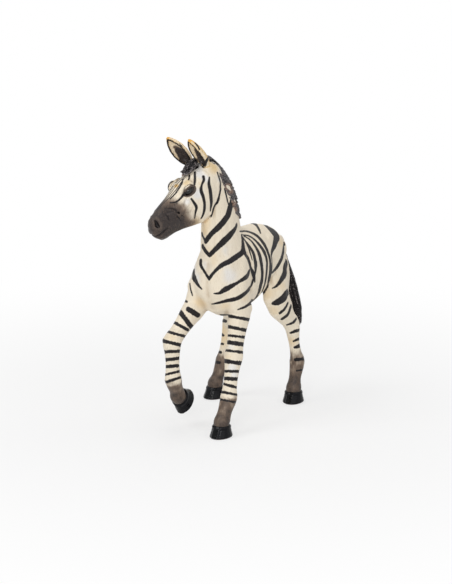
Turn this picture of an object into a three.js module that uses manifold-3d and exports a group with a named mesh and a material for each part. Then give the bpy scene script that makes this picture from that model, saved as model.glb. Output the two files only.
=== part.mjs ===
// A toy zebra foal, walking with its right foreleg lifted: moulded pieces that plug together and are glued.
// Lengths are in millimetres and angles in degrees. The figure faces -Y, its left side is +X and Z is up.

import * as THREE from "three";
import { mergeVertices } from "three/addons/utils/BufferGeometryUtils.js";
import Module from "manifold-3d";

const wasm = await Module();
wasm.setup();

// Fits between the mouldings
const seamGap = 0.3;
const plugClearance = 0.25;
const cutOverrun = 1;

// Trunk, from the breast to the buttocks
const trunk = { front: -0.8, length: 46, sternumHeight: 35.6, depth: 27.4, width: 16.4, sides: 24 };
const trunkShares = [
  { along: 0, bottom: 0.42, top: 0.52, middle: 0.47, width: 0.22 },
  { along: 0.03, bottom: 0.24, top: 0.76, middle: 0.47, width: 0.62 },
  { along: 0.1, bottom: 0.08, top: 0.9, middle: 0.43, width: 0.86 },
  { along: 0.2, bottom: 0, top: 0.98, middle: 0.41, width: 0.97 },
  { along: 0.31, bottom: -0.02, top: 1, middle: 0.42, width: 1 },
  { along: 0.4, bottom: 0, top: 0.99, middle: 0.42, width: 1.01 },
  { along: 0.5, bottom: 0.03, top: 0.95, middle: 0.42, width: 1.03 },
  { along: 0.61, bottom: 0.1, top: 0.94, middle: 0.45, width: 1 },
  { along: 0.71, bottom: 0.2, top: 0.93, middle: 0.52, width: 0.95 },
  { along: 0.83, bottom: 0.32, top: 0.87, middle: 0.55, width: 0.89 },
  { along: 0.91, bottom: 0.42, top: 0.77, middle: 0.57, width: 0.76 },
  { along: 0.97, bottom: 0.5, top: 0.68, middle: 0.57, width: 0.5 },
  { along: 1, bottom: 0.54, top: 0.6, middle: 0.57, width: 0.2 },
];

// Girths of the legs: full width, and how far each section reaches ahead of and behind its centre
const foreGirths = {
  scapula: { width: 5.4, front: 4, back: 4.4 },
  shoulder: { width: 6.6, front: 6.4, back: 6 },
  arm: { width: 7, front: 6, back: 6.2 },
  elbow: { width: 6.8, front: 4.6, back: 4.8 },
  forearm: { width: 6.2, front: 3.8, back: 3.8 },
  forearmBase: { width: 5.4, front: 3.1, back: 3 },
  kneeTop: { width: 5.3, front: 2.8, back: 2.7 },
  knee: { width: 6.2, front: 3, back: 2.8 },
  kneeBase: { width: 5.1, front: 2.5, back: 2.5 },
  cannon: { width: 4.6, front: 2.2, back: 2.3 },
  cannonBase: { width: 4.7, front: 2.2, back: 2.5 },
  fetlock: { width: 5.5, front: 2.5, back: 3.1 },
  pastern: { width: 4.6, front: 2.2, back: 2.3 },
  coronet: { width: 5.6, front: 2.7, back: 3 },
};
const foreRoute = [
  { from: "scapula", to: "arm", share: 0, girth: "scapula" },
  { from: "scapula", to: "arm", share: 0.5, girth: "shoulder" },
  { from: "arm", to: "elbow", share: 0, girth: "arm" },
  { from: "elbow", to: "knee", share: 0, girth: "elbow" },
  { from: "elbow", to: "knee", share: 0.27, girth: "forearm" },
  { from: "elbow", to: "knee", share: 0.56, girth: "forearmBase" },
  { from: "elbow", to: "knee", share: 0.8, girth: "kneeTop" },
  { from: "knee", to: "fetlock", share: 0, girth: "knee" },
  { from: "knee", to: "fetlock", share: 0.25, girth: "kneeBase" },
  { from: "knee", to: "fetlock", share: 0.5, girth: "cannon" },
  { from: "knee", to: "fetlock", share: 0.76, girth: "cannonBase" },
  { from: "fetlock", to: "coronet", share: 0, girth: "fetlock" },
  { from: "fetlock", to: "coronet", share: 0.55, girth: "pastern" },
  { from: "fetlock", to: "coronet", share: 1, girth: "coronet" },
];
const hindGirths = {
  hip: { width: 5.6, front: 4.6, back: 3.2 },
  haunch: { width: 7.6, front: 8.2, back: 6.2 },
  thigh: { width: 7.7, front: 8.4, back: 7.4 },
  stifle: { width: 7, front: 6.6, back: 5.6 },
  gaskin: { width: 5.8, front: 5, back: 3.9 },
  hockTop: { width: 4.5, front: 3.3, back: 3.2 },
  hock: { width: 4.9, front: 2.8, back: 3.4 },
  hockBase: { width: 4.1, front: 2.2, back: 2.7 },
  cannon: { width: 3.6, front: 1.9, back: 2.1 },
  cannonBase: { width: 3.9, front: 1.9, back: 2.4 },
  fetlock: { width: 5.1, front: 2.3, back: 3.1 },
  pastern: { width: 4.1, front: 2, back: 2.1 },
  coronet: { width: 5.6, front: 2.7, back: 3 },
};
const hindRoute = [
  { from: "hip", to: "thigh", share: 0, girth: "hip" },
  { from: "hip", to: "thigh", share: 0.5, girth: "haunch" },
  { from: "thigh", to: "stifle", share: 0, girth: "thigh" },
  { from: "stifle", to: "hock", share: 0, girth: "stifle" },
  { from: "stifle", to: "hock", share: 0.47, girth: "gaskin" },
  { from: "stifle", to: "hock", share: 0.8, girth: "hockTop" },
  { from: "hock", to: "fetlock", share: 0, girth: "hock" },
  { from: "hock", to: "fetlock", share: 0.26, girth: "hockBase" },
  { from: "hock", to: "fetlock", share: 0.54, girth: "cannon" },
  { from: "hock", to: "fetlock", share: 0.8, girth: "cannonBase" },
  { from: "fetlock", to: "coronet", share: 0, girth: "fetlock" },
  { from: "fetlock", to: "coronet", share: 0.58, girth: "pastern" },
  { from: "fetlock", to: "coronet", share: 1, girth: "coronet" },
];

// Hooves: the height of the wall, and the half widths and reaches of the coronet and of the sole
const hoof = { height: 3.9, soleWidth: 6.7, soleToe: 4.5, soleHeel: 3.7, soleEdge: 0.35, sides: 20 };

// Where each leg's joints stand: across in shares of the trunk's width, along in shares of its length from
// the breast, and up in shares of its depth over the breastbone; ground in shares of the breastbone's height
const legShares = {
  left_fore: {
    scapula: { across: 0.244, along: 0.278, up: 0.745 },
    arm: { across: 0.354, along: 0.2, up: 0.288 },
    elbow: { across: 0.384, along: 0.217, up: 0.088 },
    knee: { across: 0.396, along: 0.126, ground: 0.683 },
    fetlock: { across: 0.396, along: 0.054, ground: 0.329 },
    hoof: { across: 0.372, along: -0.03 },
  },
  right_fore: {
    scapula: { across: -0.244, along: 0.257, up: 0.745 },
    arm: { across: -0.354, along: 0.157, up: 0.325 },
    elbow: { across: -0.396, along: 0.109, up: 0.139 },
    knee: { across: -0.518, along: -0.143, ground: 0.843 },
    fetlock: { across: -0.567, along: -0.104, ground: 0.475 },
    hoof: { across: -0.585, along: -0.013, ground: 0.292 },
  },
  left_hind: {
    hip: { across: 0.183, along: 0.8, up: 0.708 },
    thigh: { across: 0.28, along: 0.804, up: 0.277 },
    stifle: { across: 0.39, along: 0.748, up: 0.073 },
    hock: { across: 0.488, along: 0.917, ground: 0.73 },
    fetlock: { across: 0.518, along: 0.98, ground: 0.371 },
    hoof: { across: 0.512, along: 0.935 },
  },
  right_hind: {
    hip: { across: -0.183, along: 0.791, up: 0.708 },
    thigh: { across: -0.305, along: 0.765, up: 0.277 },
    stifle: { across: -0.451, along: 0.678, up: 0.073 },
    hock: { across: -0.695, along: 0.778, ground: 0.736 },
    fetlock: { across: -0.884, along: 0.796, ground: 0.354 },
    hoof: { across: -1.018, along: 0.765 },
  },
};
const hoofAngles = {
  left_fore: { tilt: 0, turn: -4 },
  right_fore: { tilt: 60, turn: -5 },
  left_hind: { tilt: 0, turn: 5 },
  right_hind: { tilt: 0, turn: -12 },
};
const legSides = 14;
const legSteps = 2;
const foreSeamShare = 0.12;
const hindSeamShare = 0.06;
const legPlug = { radius: 1.5, length: 3.2, sides: 12 };
const hoofPlug = { radius: 1, length: 1.8, sides: 12 };

// Neck, from its root in the trunk to its end inside the head
const neckGirths = {
  end: { width: 6, front: 3.6, back: 2.4 },
  poll: { width: 7, front: 5.2, back: 3.8 },
  upper: { width: 8.2, front: 6.2, back: 5.6 },
  middle: { width: 8.9, front: 7.2, back: 7.4 },
  lower: { width: 9.6, front: 8.1, back: 8.5 },
  base: { width: 10.6, front: 8.8, back: 8.6 },
  root: { width: 12.6, front: 9.4, back: 8.4 },
  withers: { width: 12.4, front: 8.2, back: 8.6 },
};
const neckLength = 34.2;
const neckRootShares = { across: 0, along: 0.27, up: 1 };
const neckShares = {
  end: { across: -0.038, back: -0.275, rise: 0.62 },
  poll: { across: -0.032, back: -0.205, rise: 0.526 },
  upper: { across: -0.023, back: -0.152, rise: 0.409 },
  middle: { across: -0.015, back: -0.117, rise: 0.263 },
  lower: { across: -0.006, back: -0.102, rise: 0.117 },
  base: { across: 0, back: -0.091, rise: -0.018 },
  root: { across: 0, back: -0.05, rise: -0.175 },
  withers: { across: 0, back: 0, rise: -0.38 },
};
const neckSides = 24;
const neckSteps = 2;
const neckSeamShares = { across: 0, back: -0.091, rise: 0.041 };
const neckSeamTilt = 10;
const neckPlug = { radius: 2.4, length: 5, sides: 14 };

// Head, in its own frame: its origin is the poll, -Y runs down the face and Z stands out of the forehead
const headSeatShares = { across: 0.03, back: -0.044, rise: 0.194 };
const headAngles = { pitch: 43.5, turn: -26 };
const head = { length: 29.9, depth: 16, width: 10, sides: 24 };
const headShares = [
  { along: 0, top: -0.16, bottom: -0.38, middle: -0.27, width: 0.42 },
  { along: 0.04, top: -0.04, bottom: -0.53, middle: -0.26, width: 0.66 },
  { along: 0.11, top: 0.05, bottom: -0.62, middle: -0.24, width: 0.8 },
  { along: 0.21, top: 0.09, bottom: -0.73, middle: -0.22, width: 0.88 },
  { along: 0.32, top: 0.13, bottom: -0.83, middle: -0.18, width: 0.97 },
  { along: 0.42, top: 0.15, bottom: -0.86, middle: -0.12, width: 0.98 },
  { along: 0.52, top: 0.14, bottom: -0.82, middle: -0.16, width: 0.86 },
  { along: 0.62, top: 0.135, bottom: -0.7, middle: -0.2, width: 0.71 },
  { along: 0.72, top: 0.15, bottom: -0.57, middle: -0.19, width: 0.6 },
  { along: 0.82, top: 0.155, bottom: -0.46, middle: -0.16, width: 0.56 },
  { along: 0.9, top: 0.14, bottom: -0.4, middle: -0.15, width: 0.57 },
  { along: 0.955, top: 0.06, bottom: -0.34, middle: -0.14, width: 0.5 },
  { along: 0.985, top: -0.03, bottom: -0.26, middle: -0.15, width: 0.32 },
  { along: 0.995, top: -0.08, bottom: -0.2, middle: -0.14, width: 0.16 },
];
const headPlug = { radius: 2, length: 5, sides: 14 };
const mouthShares = { along: 0.85, up: -0.181, coreWidth: 0.36, coreLength: 0.107 };
const mouthOpening = 0.35;
const nostrilShares = { across: 0.3, along: 0.903, up: 0.025 };
const nostril = { radius: 0.75, depth: 0.9, sides: 10 };

// Eyes, set in sockets in the sides of the head
const eyeShares = { across: 0.35, along: 0.438, up: 0.031 };
const eye = { length: 2.6, tall: 2.1, bulge: 1.5, gap: 0.12, sides: 12 };

// Ears: cupped leaves that plug into the head behind the forelock
const ear = { length: 13, width: 5.5, depth: 3.3, wall: 0.65, sides: 14 };
const earPlug = { radius: 0.8, length: 2, sides: 10 };
const earShares = [
  { along: 0, width: 0.42, depth: 0.6 },
  { along: 0.14, width: 0.56, depth: 0.78 },
  { along: 0.3, width: 0.84, depth: 1 },
  { along: 0.48, width: 1, depth: 1 },
  { along: 0.66, width: 0.94, depth: 0.88 },
  { along: 0.82, width: 0.68, depth: 0.66 },
  { along: 0.93, width: 0.38, depth: 0.4 },
  { along: 1, width: 0.12, depth: 0.16 },
];
const earCupShares = { from: 0.2, to: 0.94, ahead: 0.3, deep: 1.15 };
const earRootShares = {
  left_ear: { across: 0.22, along: 0.097, up: -0.088 },
  right_ear: { across: -0.41, along: 0.141, up: -0.057 },
};
const earAngles = {
  left_ear: { tip: -4, lean: 6.5, turn: 6 },
  right_ear: { tip: -3.5, lean: -9.3, turn: 35 },
};

// Mane, standing on the neck's crest from the poll to the withers: its height at each station of the neck
const mane = { width: 2.6, height: 2.1, root: 1.6, sides: 12, steps: 2 };
const maneHeightShares = { start: 0.5, end: 0.75, poll: 0.88, upper: 1, middle: 1, lower: 0.97, base: 0.6 };
const maneStopShares = { along: 0.2, height: 0.35 };
const manePin = { radius: 0.6, length: 2, sides: 10 };
const manePinPlaces = ["upper", "lower"];

// Forelock, a tuft that hangs from the poll over the forehead: its locks in shares of the head's sizes
const forelock = { width: 2.4, thickness: 2.1, sides: 8, steps: 2 };
const forelockShares = [
  {
    start: { across: -0.09, along: 0.02, up: 0.05 },
    middle: { across: -0.16, along: 0.18, up: 0.169 },
    stop: { across: -0.15, along: 0.314, up: 0.156 },
    girth: 0.92,
  },
  {
    start: { across: 0.02, along: 0.013, up: 0.056 },
    middle: { across: 0, along: 0.167, up: 0.212 },
    stop: { across: -0.03, along: 0.348, up: 0.169 },
    girth: 1,
  },
  {
    start: { across: 0.11, along: 0.02, up: 0.038 },
    middle: { across: 0.14, along: 0.154, up: 0.162 },
    stop: { across: 0.11, along: 0.288, up: 0.156 },
    girth: 0.85,
  },
];
const lockGirthShares = { start: 0.7, middle: 1, stop: 0.3 };
const tuftPinShares = { across: 0, along: 0.167, up: 0.15 };
const tuftPin = { radius: 0.7, length: 2.6, sides: 10 };

// Tail, from the dock to the tip of the brush
const tailGirths = {
  dock: { width: 2.6, front: 1.2, back: 1.2 },
  bend: { width: 2.8, front: 1.3, back: 1.4 },
  upper: { width: 3.2, front: 1.6, back: 1.7 },
  brush: { width: 3.9, front: 2.1, back: 2.1 },
  lower: { width: 3.6, front: 1.9, back: 1.9 },
  tip: { width: 0.9, front: 0.5, back: 0.5 },
};
const tailLength = 29.2;
const dockShares = { across: 0, along: 0.904, up: 0.62 };
const tailShares = {
  dock: { across: 0, back: 0, rise: 0 },
  bend: { across: 0.007, back: 0.178, rise: -0.027 },
  upper: { across: 0.034, back: 0.277, rise: -0.26 },
  brush: { across: 0.103, back: 0.349, rise: -0.582 },
  lower: { across: 0.164, back: 0.356, rise: -0.808 },
  tip: { across: 0.205, back: 0.329, rise: -1 },
};
const tailSides = 14;
const tailSteps = 2;

// Materials
const coat = new THREE.MeshStandardMaterial({ color: 0xe9dfc8, roughness: 0.62, metalness: 0 });
const hair = new THREE.MeshStandardMaterial({ color: 0x26221f, roughness: 0.7, metalness: 0 });
const horn = new THREE.MeshStandardMaterial({ color: 0x17171a, roughness: 0.35, metalness: 0 });
const eyeball = new THREE.MeshStandardMaterial({ color: 0x0b0c10, roughness: 0.08, metalness: 0 });

const radians = THREE.MathUtils.degToRad;

// A place on the trunk
const onTrunk = ({ across, along, up }) =>
  new THREE.Vector3(
    across * trunk.width,
    trunk.front + along * trunk.length,
    trunk.sternumHeight + up * trunk.depth,
  );

// A place of a leg above the ground
const overGround = ({ across, along, ground }) =>
  onTrunk({ across, along, up: 0 }).setZ(ground * trunk.sternumHeight);

// A place reached from a start, in shares of one length
const offset = (start, length, { across, back, rise }) =>
  start.clone().addScaledVector(new THREE.Vector3(across, back, rise), length);

// A place on the head, in the head's frame
const onHead = ({ across, along, up }) =>
  new THREE.Vector3(across * head.width, -along * head.length, up * head.depth);

// A closed geometry becomes a solid once only its positions are left and its shared corners are merged.
function solidOf(geometry) {
  const bare = new THREE.BufferGeometry();
  bare.setAttribute("position", geometry.getAttribute("position"));
  bare.setIndex(geometry.getIndex());
  const merged = mergeVertices(bare);
  return new wasm.Manifold(
    new wasm.Mesh({
      numProp: 3,
      vertProperties: new Float32Array(merged.getAttribute("position").array),
      triVerts: new Uint32Array(merged.getIndex().array),
    }),
  );
}

// A solid goes back to a geometry, flat shaded, for its mesh.
function geometryOf(solid) {
  const { numProp, vertProperties, triVerts } = solid.getMesh();
  const corners = new Float32Array(triVerts.length * 3);
  triVerts.forEach((vertex, i) => {
    corners.set(vertProperties.subarray(vertex * numProp, vertex * numProp + 3), i * 3);
  });
  const geometry = new THREE.BufferGeometry();
  geometry.setAttribute("position", new THREE.BufferAttribute(corners, 3));
  geometry.computeVertexNormals();
  return geometry;
}

const moved = (solid, matrix) => solid.transform(matrix.elements);

function piece(name, solid, material) {
  const mesh = new THREE.Mesh(geometryOf(solid), material);
  mesh.name = name;
  return mesh;
}

// The skin through a row of sections. Each section has a centre, two unit vectors and its reaches along them.
function skin(sections, sides) {
  const positions = [];
  const faces = [];
  for (const { centre, side, front, width, ahead, behind } of sections) {
    for (let k = 0; k < sides; k++) {
      const angle = (2 * Math.PI * k) / sides;
      const reach = Math.sin(angle) > 0 ? ahead : behind;
      const corner = centre
        .clone()
        .addScaledVector(side, (width / 2) * Math.cos(angle))
        .addScaledVector(front, reach * Math.sin(angle));
      positions.push(...corner.toArray());
    }
  }
  const last = (sections.length - 1) * sides;
  for (let ring = 0; ring < last; ring += sides) {
    for (let k = 0; k < sides; k++) {
      const next = (k + 1) % sides;
      faces.push(ring + k, ring + next, ring + sides + next);
      faces.push(ring + k, ring + sides + next, ring + sides + k);
    }
  }
  const caps = [sections[0], sections[sections.length - 1]].map(({ centre }) => {
    positions.push(...centre.toArray());
    return positions.length / 3 - 1;
  });
  for (let k = 0; k < sides; k++) {
    const next = (k + 1) % sides;
    faces.push(caps[0], next, k);
    faces.push(caps[1], last + k, last + next);
  }
  const geometry = new THREE.BufferGeometry();
  geometry.setAttribute("position", new THREE.Float32BufferAttribute(positions, 3));
  geometry.setIndex(faces);
  const solid = solidOf(geometry);
  return solid.volume() < 0 ? solidOf(flipped(geometry)) : solid;
}

function flipped(geometry) {
  const index = geometry.getIndex();
  const turned = geometry.clone();
  turned.setIndex(Array.from(index.array).reverse());
  return turned;
}

// A limb runs down a smooth curve through its stations. Its sections face +X as far as the curve lets them.
function limb(stations, { sides, steps, grow = 0 }) {
  const line = new THREE.CatmullRomCurve3(
    stations.map(({ centre }) => centre),
    false,
    "centripetal",
  );
  const girths = new THREE.CatmullRomCurve3(
    stations.map(({ girth }) => new THREE.Vector3(girth.width, girth.front, girth.back)),
    false,
    "centripetal",
  );
  const count = (stations.length - 1) * steps;
  const sections = [];
  for (let i = 0; i <= count; i++) {
    const tangent = line.getTangent(i / count);
    const side = new THREE.Vector3(1, 0, 0).addScaledVector(tangent, -tangent.x).normalize();
    const girth = girths.getPoint(i / count);
    sections.push({
      centre: line.getPoint(i / count),
      side,
      front: tangent.clone().cross(side).normalize(),
      width: girth.x + 2 * grow,
      ahead: girth.y + grow,
      behind: girth.z + grow,
    });
  }
  return skin(sections, sides);
}

// A round plug from a point along an axis. It starts an overrun early, inside the piece that carries it.
function plug(start, axis, { radius, length, sides }, clearance = 0) {
  const whole = length + clearance + cutOverrun;
  const geometry = new THREE.CylinderGeometry(radius + clearance, radius + clearance, whole, sides);
  geometry.translate(0, whole / 2 - cutOverrun, 0);
  geometry.applyQuaternion(new THREE.Quaternion().setFromUnitVectors(new THREE.Vector3(0, 1, 0), axis));
  geometry.translate(...start.toArray());
  return solidOf(geometry);
}

// What lies on the normal's side of a plane through a point
const beyond = (solid, point, normal) => solid.trimByPlane(normal.toArray(), normal.dot(point));

function trunkSkin(grow = 0) {
  const sections = trunkShares.map(({ along, bottom, top, middle, width }) => {
    return {
      centre: onTrunk({ across: 0, along, up: middle }),
      side: new THREE.Vector3(1, 0, 0),
      front: new THREE.Vector3(0, 0, 1),
      width: width * trunk.width + 2 * grow,
      ahead: (top - middle) * trunk.depth + grow,
      behind: (middle - bottom) * trunk.depth + grow,
    };
  });
  sections[0].centre.y -= grow;
  sections[sections.length - 1].centre.y += grow;
  return skin(sections, trunk.sides);
}

// A hoof in its own frame, with its sole on the ground at the origin and its toe towards -Y
function hoofSkin(girth) {
  const rings = [
    { z: 0, shrink: hoof.soleEdge, share: 0 },
    { z: hoof.soleEdge, shrink: 0, share: hoof.soleEdge / hoof.height },
    { z: hoof.height / 2, shrink: 0, share: 0.5 },
    { z: hoof.height, shrink: 0, share: 1 },
  ];
  const sections = rings.map(({ z, shrink, share }) => ({
    centre: new THREE.Vector3(0, 0, z),
    side: new THREE.Vector3(1, 0, 0),
    front: new THREE.Vector3(0, -1, 0),
    width: THREE.MathUtils.lerp(hoof.soleWidth, girth.width, share) - 2 * shrink,
    ahead: THREE.MathUtils.lerp(hoof.soleToe, girth.front, share) - shrink,
    behind: THREE.MathUtils.lerp(hoof.soleHeel, girth.back, share) - shrink,
  }));
  return skin(sections, hoof.sides);
}

// A hoof's frame: its turn about the vertical, its tilt about the leg's side axis and the place of its sole
function hoofFrame(place, { tilt, turn }) {
  const frame = new THREE.Object3D();
  frame.rotation.set(radians(tilt), 0, radians(turn), "ZXY");
  const up = new THREE.Vector3(0, 0, 1).applyEuler(frame.rotation);
  const coronet = place.ground ? overGround(place) : onTrunk({ ...place, up: 0 }).setZ(hoof.height);
  frame.position.copy(coronet).addScaledVector(up, -hoof.height);
  frame.updateMatrix();
  return { frame, up, coronet };
}

// One leg: its whole limb, then the part that is moulded with the trunk, the leg below it and its hoof
function legParts(name, route, girths, seamShare) {
  const { hoof: hoofPlace, ...joints } = legShares[name];
  const { frame, up, coronet } = hoofFrame(hoofPlace, hoofAngles[name]);
  const points = { coronet };
  Object.entries(joints).forEach(([joint, place]) => {
    points[joint] = place.ground ? overGround(place) : onTrunk(place);
  });
  const stations = route.map(({ from, to, share, girth }) => ({
    centre: points[from].clone().lerp(points[to], share),
    girth: girths[girth],
  }));
  stations.push({
    centre: coronet.clone().addScaledVector(up, -hoof.height / 2),
    girth: girths.coronet,
  });
  const whole = limb(stations, { sides: legSides, steps: legSteps });

  const upperJoint = route[3].from;
  const lowerJoint = route[3].to;
  const seam = points[upperJoint].clone().lerp(points[lowerJoint], seamShare);
  const down = points[lowerJoint].clone().sub(points[upperJoint]).normalize();
  const rise = down.clone().negate();
  const legTop = seam.clone().addScaledVector(down, seamGap);
  const ankle = coronet.clone().addScaledVector(up, seamGap);
  const lower = beyond(beyond(whole, legTop, down), ankle, up).subtract(trunkGrown);
  const sole = up.clone().negate();
  const hoofSocket = moved(plug(ankle, sole, hoofPlug, plugClearance), frame.matrix.clone().invert());
  return {
    stump: beyond(whole, seam, rise),
    leg: lower.add(plug(legTop, rise, legPlug)).add(plug(ankle, sole, hoofPlug)),
    socket: plug(legTop, rise, legPlug, plugClearance),
    hoof: hoofSkin(girths.coronet).subtract(hoofSocket),
    frame,
  };
}

const neckRoot = onTrunk(neckRootShares);
const onNeck = (place) => offset(neckRoot, neckLength, place);

function neckSkin(grow = 0) {
  const stations = Object.keys(neckShares).map((name) => ({
    centre: onNeck(neckShares[name]),
    girth: neckGirths[name],
  }));
  return limb(stations, { sides: neckSides, steps: neckSteps, grow });
}

// The head's loft in its own frame
function headSkin(grow = 0) {
  const sections = headShares.map(({ along, top, bottom, middle, width }) => ({
    centre: onHead({ across: 0, along, up: middle }),
    side: new THREE.Vector3(1, 0, 0),
    front: new THREE.Vector3(0, 0, 1),
    width: width * head.width + 2 * grow,
    ahead: (top - middle) * head.depth + grow,
    behind: (middle - bottom) * head.depth + grow,
  }));
  sections[0].centre.y += grow;
  sections[sections.length - 1].centre.y -= grow;
  return skin(sections, head.sides);
}

function eyeSolid(side, grow = 0) {
  const geometry = new THREE.SphereGeometry(1, eye.sides, eye.sides / 2);
  geometry.scale(eye.bulge + grow, eye.length / 2 + grow, eye.tall / 2 + grow);
  geometry.translate(...onHead({ ...eyeShares, across: side * eyeShares.across }).toArray());
  return solidOf(geometry);
}

// The line of the mouth, a shallow slit round the muzzle
function mouthCut() {
  const slab = (width, length) => {
    const geometry = new THREE.BoxGeometry(width, length, mouthOpening);
    geometry.translate(0, -mouthShares.along * head.length - length / 2, mouthShares.up * head.depth);
    return solidOf(geometry);
  };
  const core = slab(mouthShares.coreWidth * head.width, mouthShares.coreLength * head.length);
  return slab(head.width, (1 - mouthShares.along) * head.length + cutOverrun).subtract(core);
}

function nostrilCut(side) {
  const geometry = new THREE.SphereGeometry(nostril.radius, nostril.sides, nostril.sides / 2);
  geometry.scale(nostril.depth / nostril.radius, 1, 1);
  geometry.translate(...onHead({ ...nostrilShares, across: side * nostrilShares.across }).toArray());
  return solidOf(geometry);
}

// An ear in its own frame: its root at the origin, its tip up Z and its opening towards -Y
function earLeaf(grow = 0) {
  return earShares.map(({ along, width, depth }) => ({
    centre: new THREE.Vector3(0, 0, along * ear.length),
    side: new THREE.Vector3(1, 0, 0),
    front: new THREE.Vector3(0, -1, 0),
    width: width * ear.width + 2 * grow,
    ahead: (depth * ear.depth) / 2 + grow,
    behind: (depth * ear.depth) / 2 + grow,
  }));
}

function earSkin() {
  const leaf = earLeaf();
  const cup = leaf.slice(1, -1).map((section) => ({
    ...section,
    centre: section.centre.clone().add(new THREE.Vector3(0, -earCupShares.ahead * ear.depth, 0)),
    width: section.width - 2 * ear.wall,
    ahead: section.ahead * earCupShares.deep,
    behind: section.behind * earCupShares.deep - ear.wall / 2,
  }));
  cup[0].centre.z = earCupShares.from * ear.length;
  cup[cup.length - 1].centre.z = earCupShares.to * ear.length;
  return skin(leaf, ear.sides).subtract(skin(cup, ear.sides));
}

function earFrame(name) {
  const { tip, lean, turn } = earAngles[name];
  const frame = new THREE.Object3D();
  frame.position.copy(onHead(earRootShares[name]));
  frame.rotation.set(radians(tip), radians(lean), radians(turn), "XYZ");
  frame.updateMatrix();
  return frame;
}

// The mane's stations: the poll, the crest behind each station of the neck, and a stop at the withers
function maneSkin() {
  const station = (centre, height) => ({
    centre,
    girth: { width: mane.width * Math.sqrt(height), front: mane.root, back: mane.height * height },
  });
  const names = Object.keys(maneHeightShares).slice(1);
  const crest = names.map((name, i) => {
    const centre = onNeck(neckShares[name]);
    const above = onNeck(neckShares[names[Math.max(i - 1, 0)]]);
    const below = onNeck(neckShares[names[i + 1] ?? "root"]);
    const down = below.sub(above).normalize();
    const back = new THREE.Vector3(1, 0, 0).cross(down).normalize();
    return centre.addScaledVector(back, neckGirths[name].back);
  });
  const withers = onNeck(neckShares.root).add(new THREE.Vector3(0, neckGirths.root.back, 0));
  const stations = [
    station(headGroup.position.clone(), maneHeightShares.start),
    ...crest.map((centre, i) => station(centre, maneHeightShares[names[i]])),
    station(crest[crest.length - 1].clone().lerp(withers, maneStopShares.along), maneStopShares.height),
  ];
  return limb(stations, { sides: mane.sides, steps: mane.steps });
}

function forelockSkin(grow = 0) {
  const locks = forelockShares.map((lock) => {
    const stations = ["start", "middle", "stop"].map((at) => {
      const share = lock.girth * lockGirthShares[at];
      return {
        centre: onHead(lock[at]),
        girth: {
          width: forelock.width * share,
          front: (forelock.thickness / 2) * share,
          back: (forelock.thickness / 2) * share,
        },
      };
    });
    return limb(stations, { sides: forelock.sides, steps: forelock.steps, grow });
  });
  return locks.reduce((tuft, lock) => tuft.add(lock));
}

// The forelock's plug, down into the head under its middle lock
const tuftPlug = (clearance = 0) =>
  plug(onHead(tuftPinShares), new THREE.Vector3(0, 0, -1), tuftPin, clearance);

function tailSkin(grow = 0) {
  const dock = onTrunk(dockShares);
  const stations = Object.keys(tailShares).map((name) => ({
    centre: offset(dock, tailLength, tailShares[name]),
    girth: tailGirths[name],
  }));
  return limb(stations, { sides: tailSides, steps: tailSteps, grow });
}

// Legs
const trunkGrown = trunkSkin(seamGap);
const limbs = {
  left_fore: legParts("left_fore", foreRoute, foreGirths, foreSeamShare),
  right_fore: legParts("right_fore", foreRoute, foreGirths, foreSeamShare),
  left_hind: legParts("left_hind", hindRoute, hindGirths, hindSeamShare),
  right_hind: legParts("right_hind", hindRoute, hindGirths, hindSeamShare),
};
const legPieces = Object.entries(limbs).flatMap(([name, { leg, hoof: shoe, frame }]) => {
  const foot = piece(`${name}_hoof`, shoe, horn);
  foot.applyMatrix4(frame.matrix);
  return [piece(`${name}_leg`, leg, coat), foot];
});

// Neck, seated on its foot and hollowed at the top for the back of the head
const neckWhole = neckSkin();
const neckGrown = neckSkin(seamGap);
const neckUp = new THREE.Vector3(0, 0, 1).applyAxisAngle(new THREE.Vector3(1, 0, 0), radians(neckSeamTilt));
const neckDown = neckUp.clone().negate();
const neckFoot = onNeck(neckSeamShares);
const neckBase = neckFoot.clone().addScaledVector(neckUp, seamGap);
const headGroup = new THREE.Group();
headGroup.position.copy(offset(onNeck(neckShares.end), head.depth, headSeatShares));
headGroup.rotation.set(radians(headAngles.pitch), 0, radians(headAngles.turn), "ZXY");
headGroup.updateMatrix();
const toHead = headGroup.matrix.clone().invert();
const inBody = (solid) => moved(solid, headGroup.matrix);
const headGrown = inBody(headSkin(seamGap));
const nape = onNeck(neckShares.upper);
const napeAxis = onNeck(neckShares.end).sub(nape).normalize();
const neckBody = beyond(neckWhole, neckBase, neckUp)
  .subtract(headGrown)
  .add(plug(nape, napeAxis, headPlug))
  .add(plug(neckBase, neckDown, neckPlug));

// Trunk, with the shoulders, the haunches and the foot of the neck moulded on
const stumps = Object.values(limbs).map(({ stump }) => stump);
const sockets = Object.values(limbs).map(({ socket }) => socket);
const body = [beyond(neckWhole, neckFoot, neckDown), ...stumps]
  .reduce((solid, stump) => solid.add(stump), trunkSkin())
  .subtract(plug(neckBase, neckDown, neckPlug, plugClearance));
const torso = [...sockets, tailSkin(plugClearance)].reduce((solid, cut) => solid.subtract(cut), body);

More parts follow.
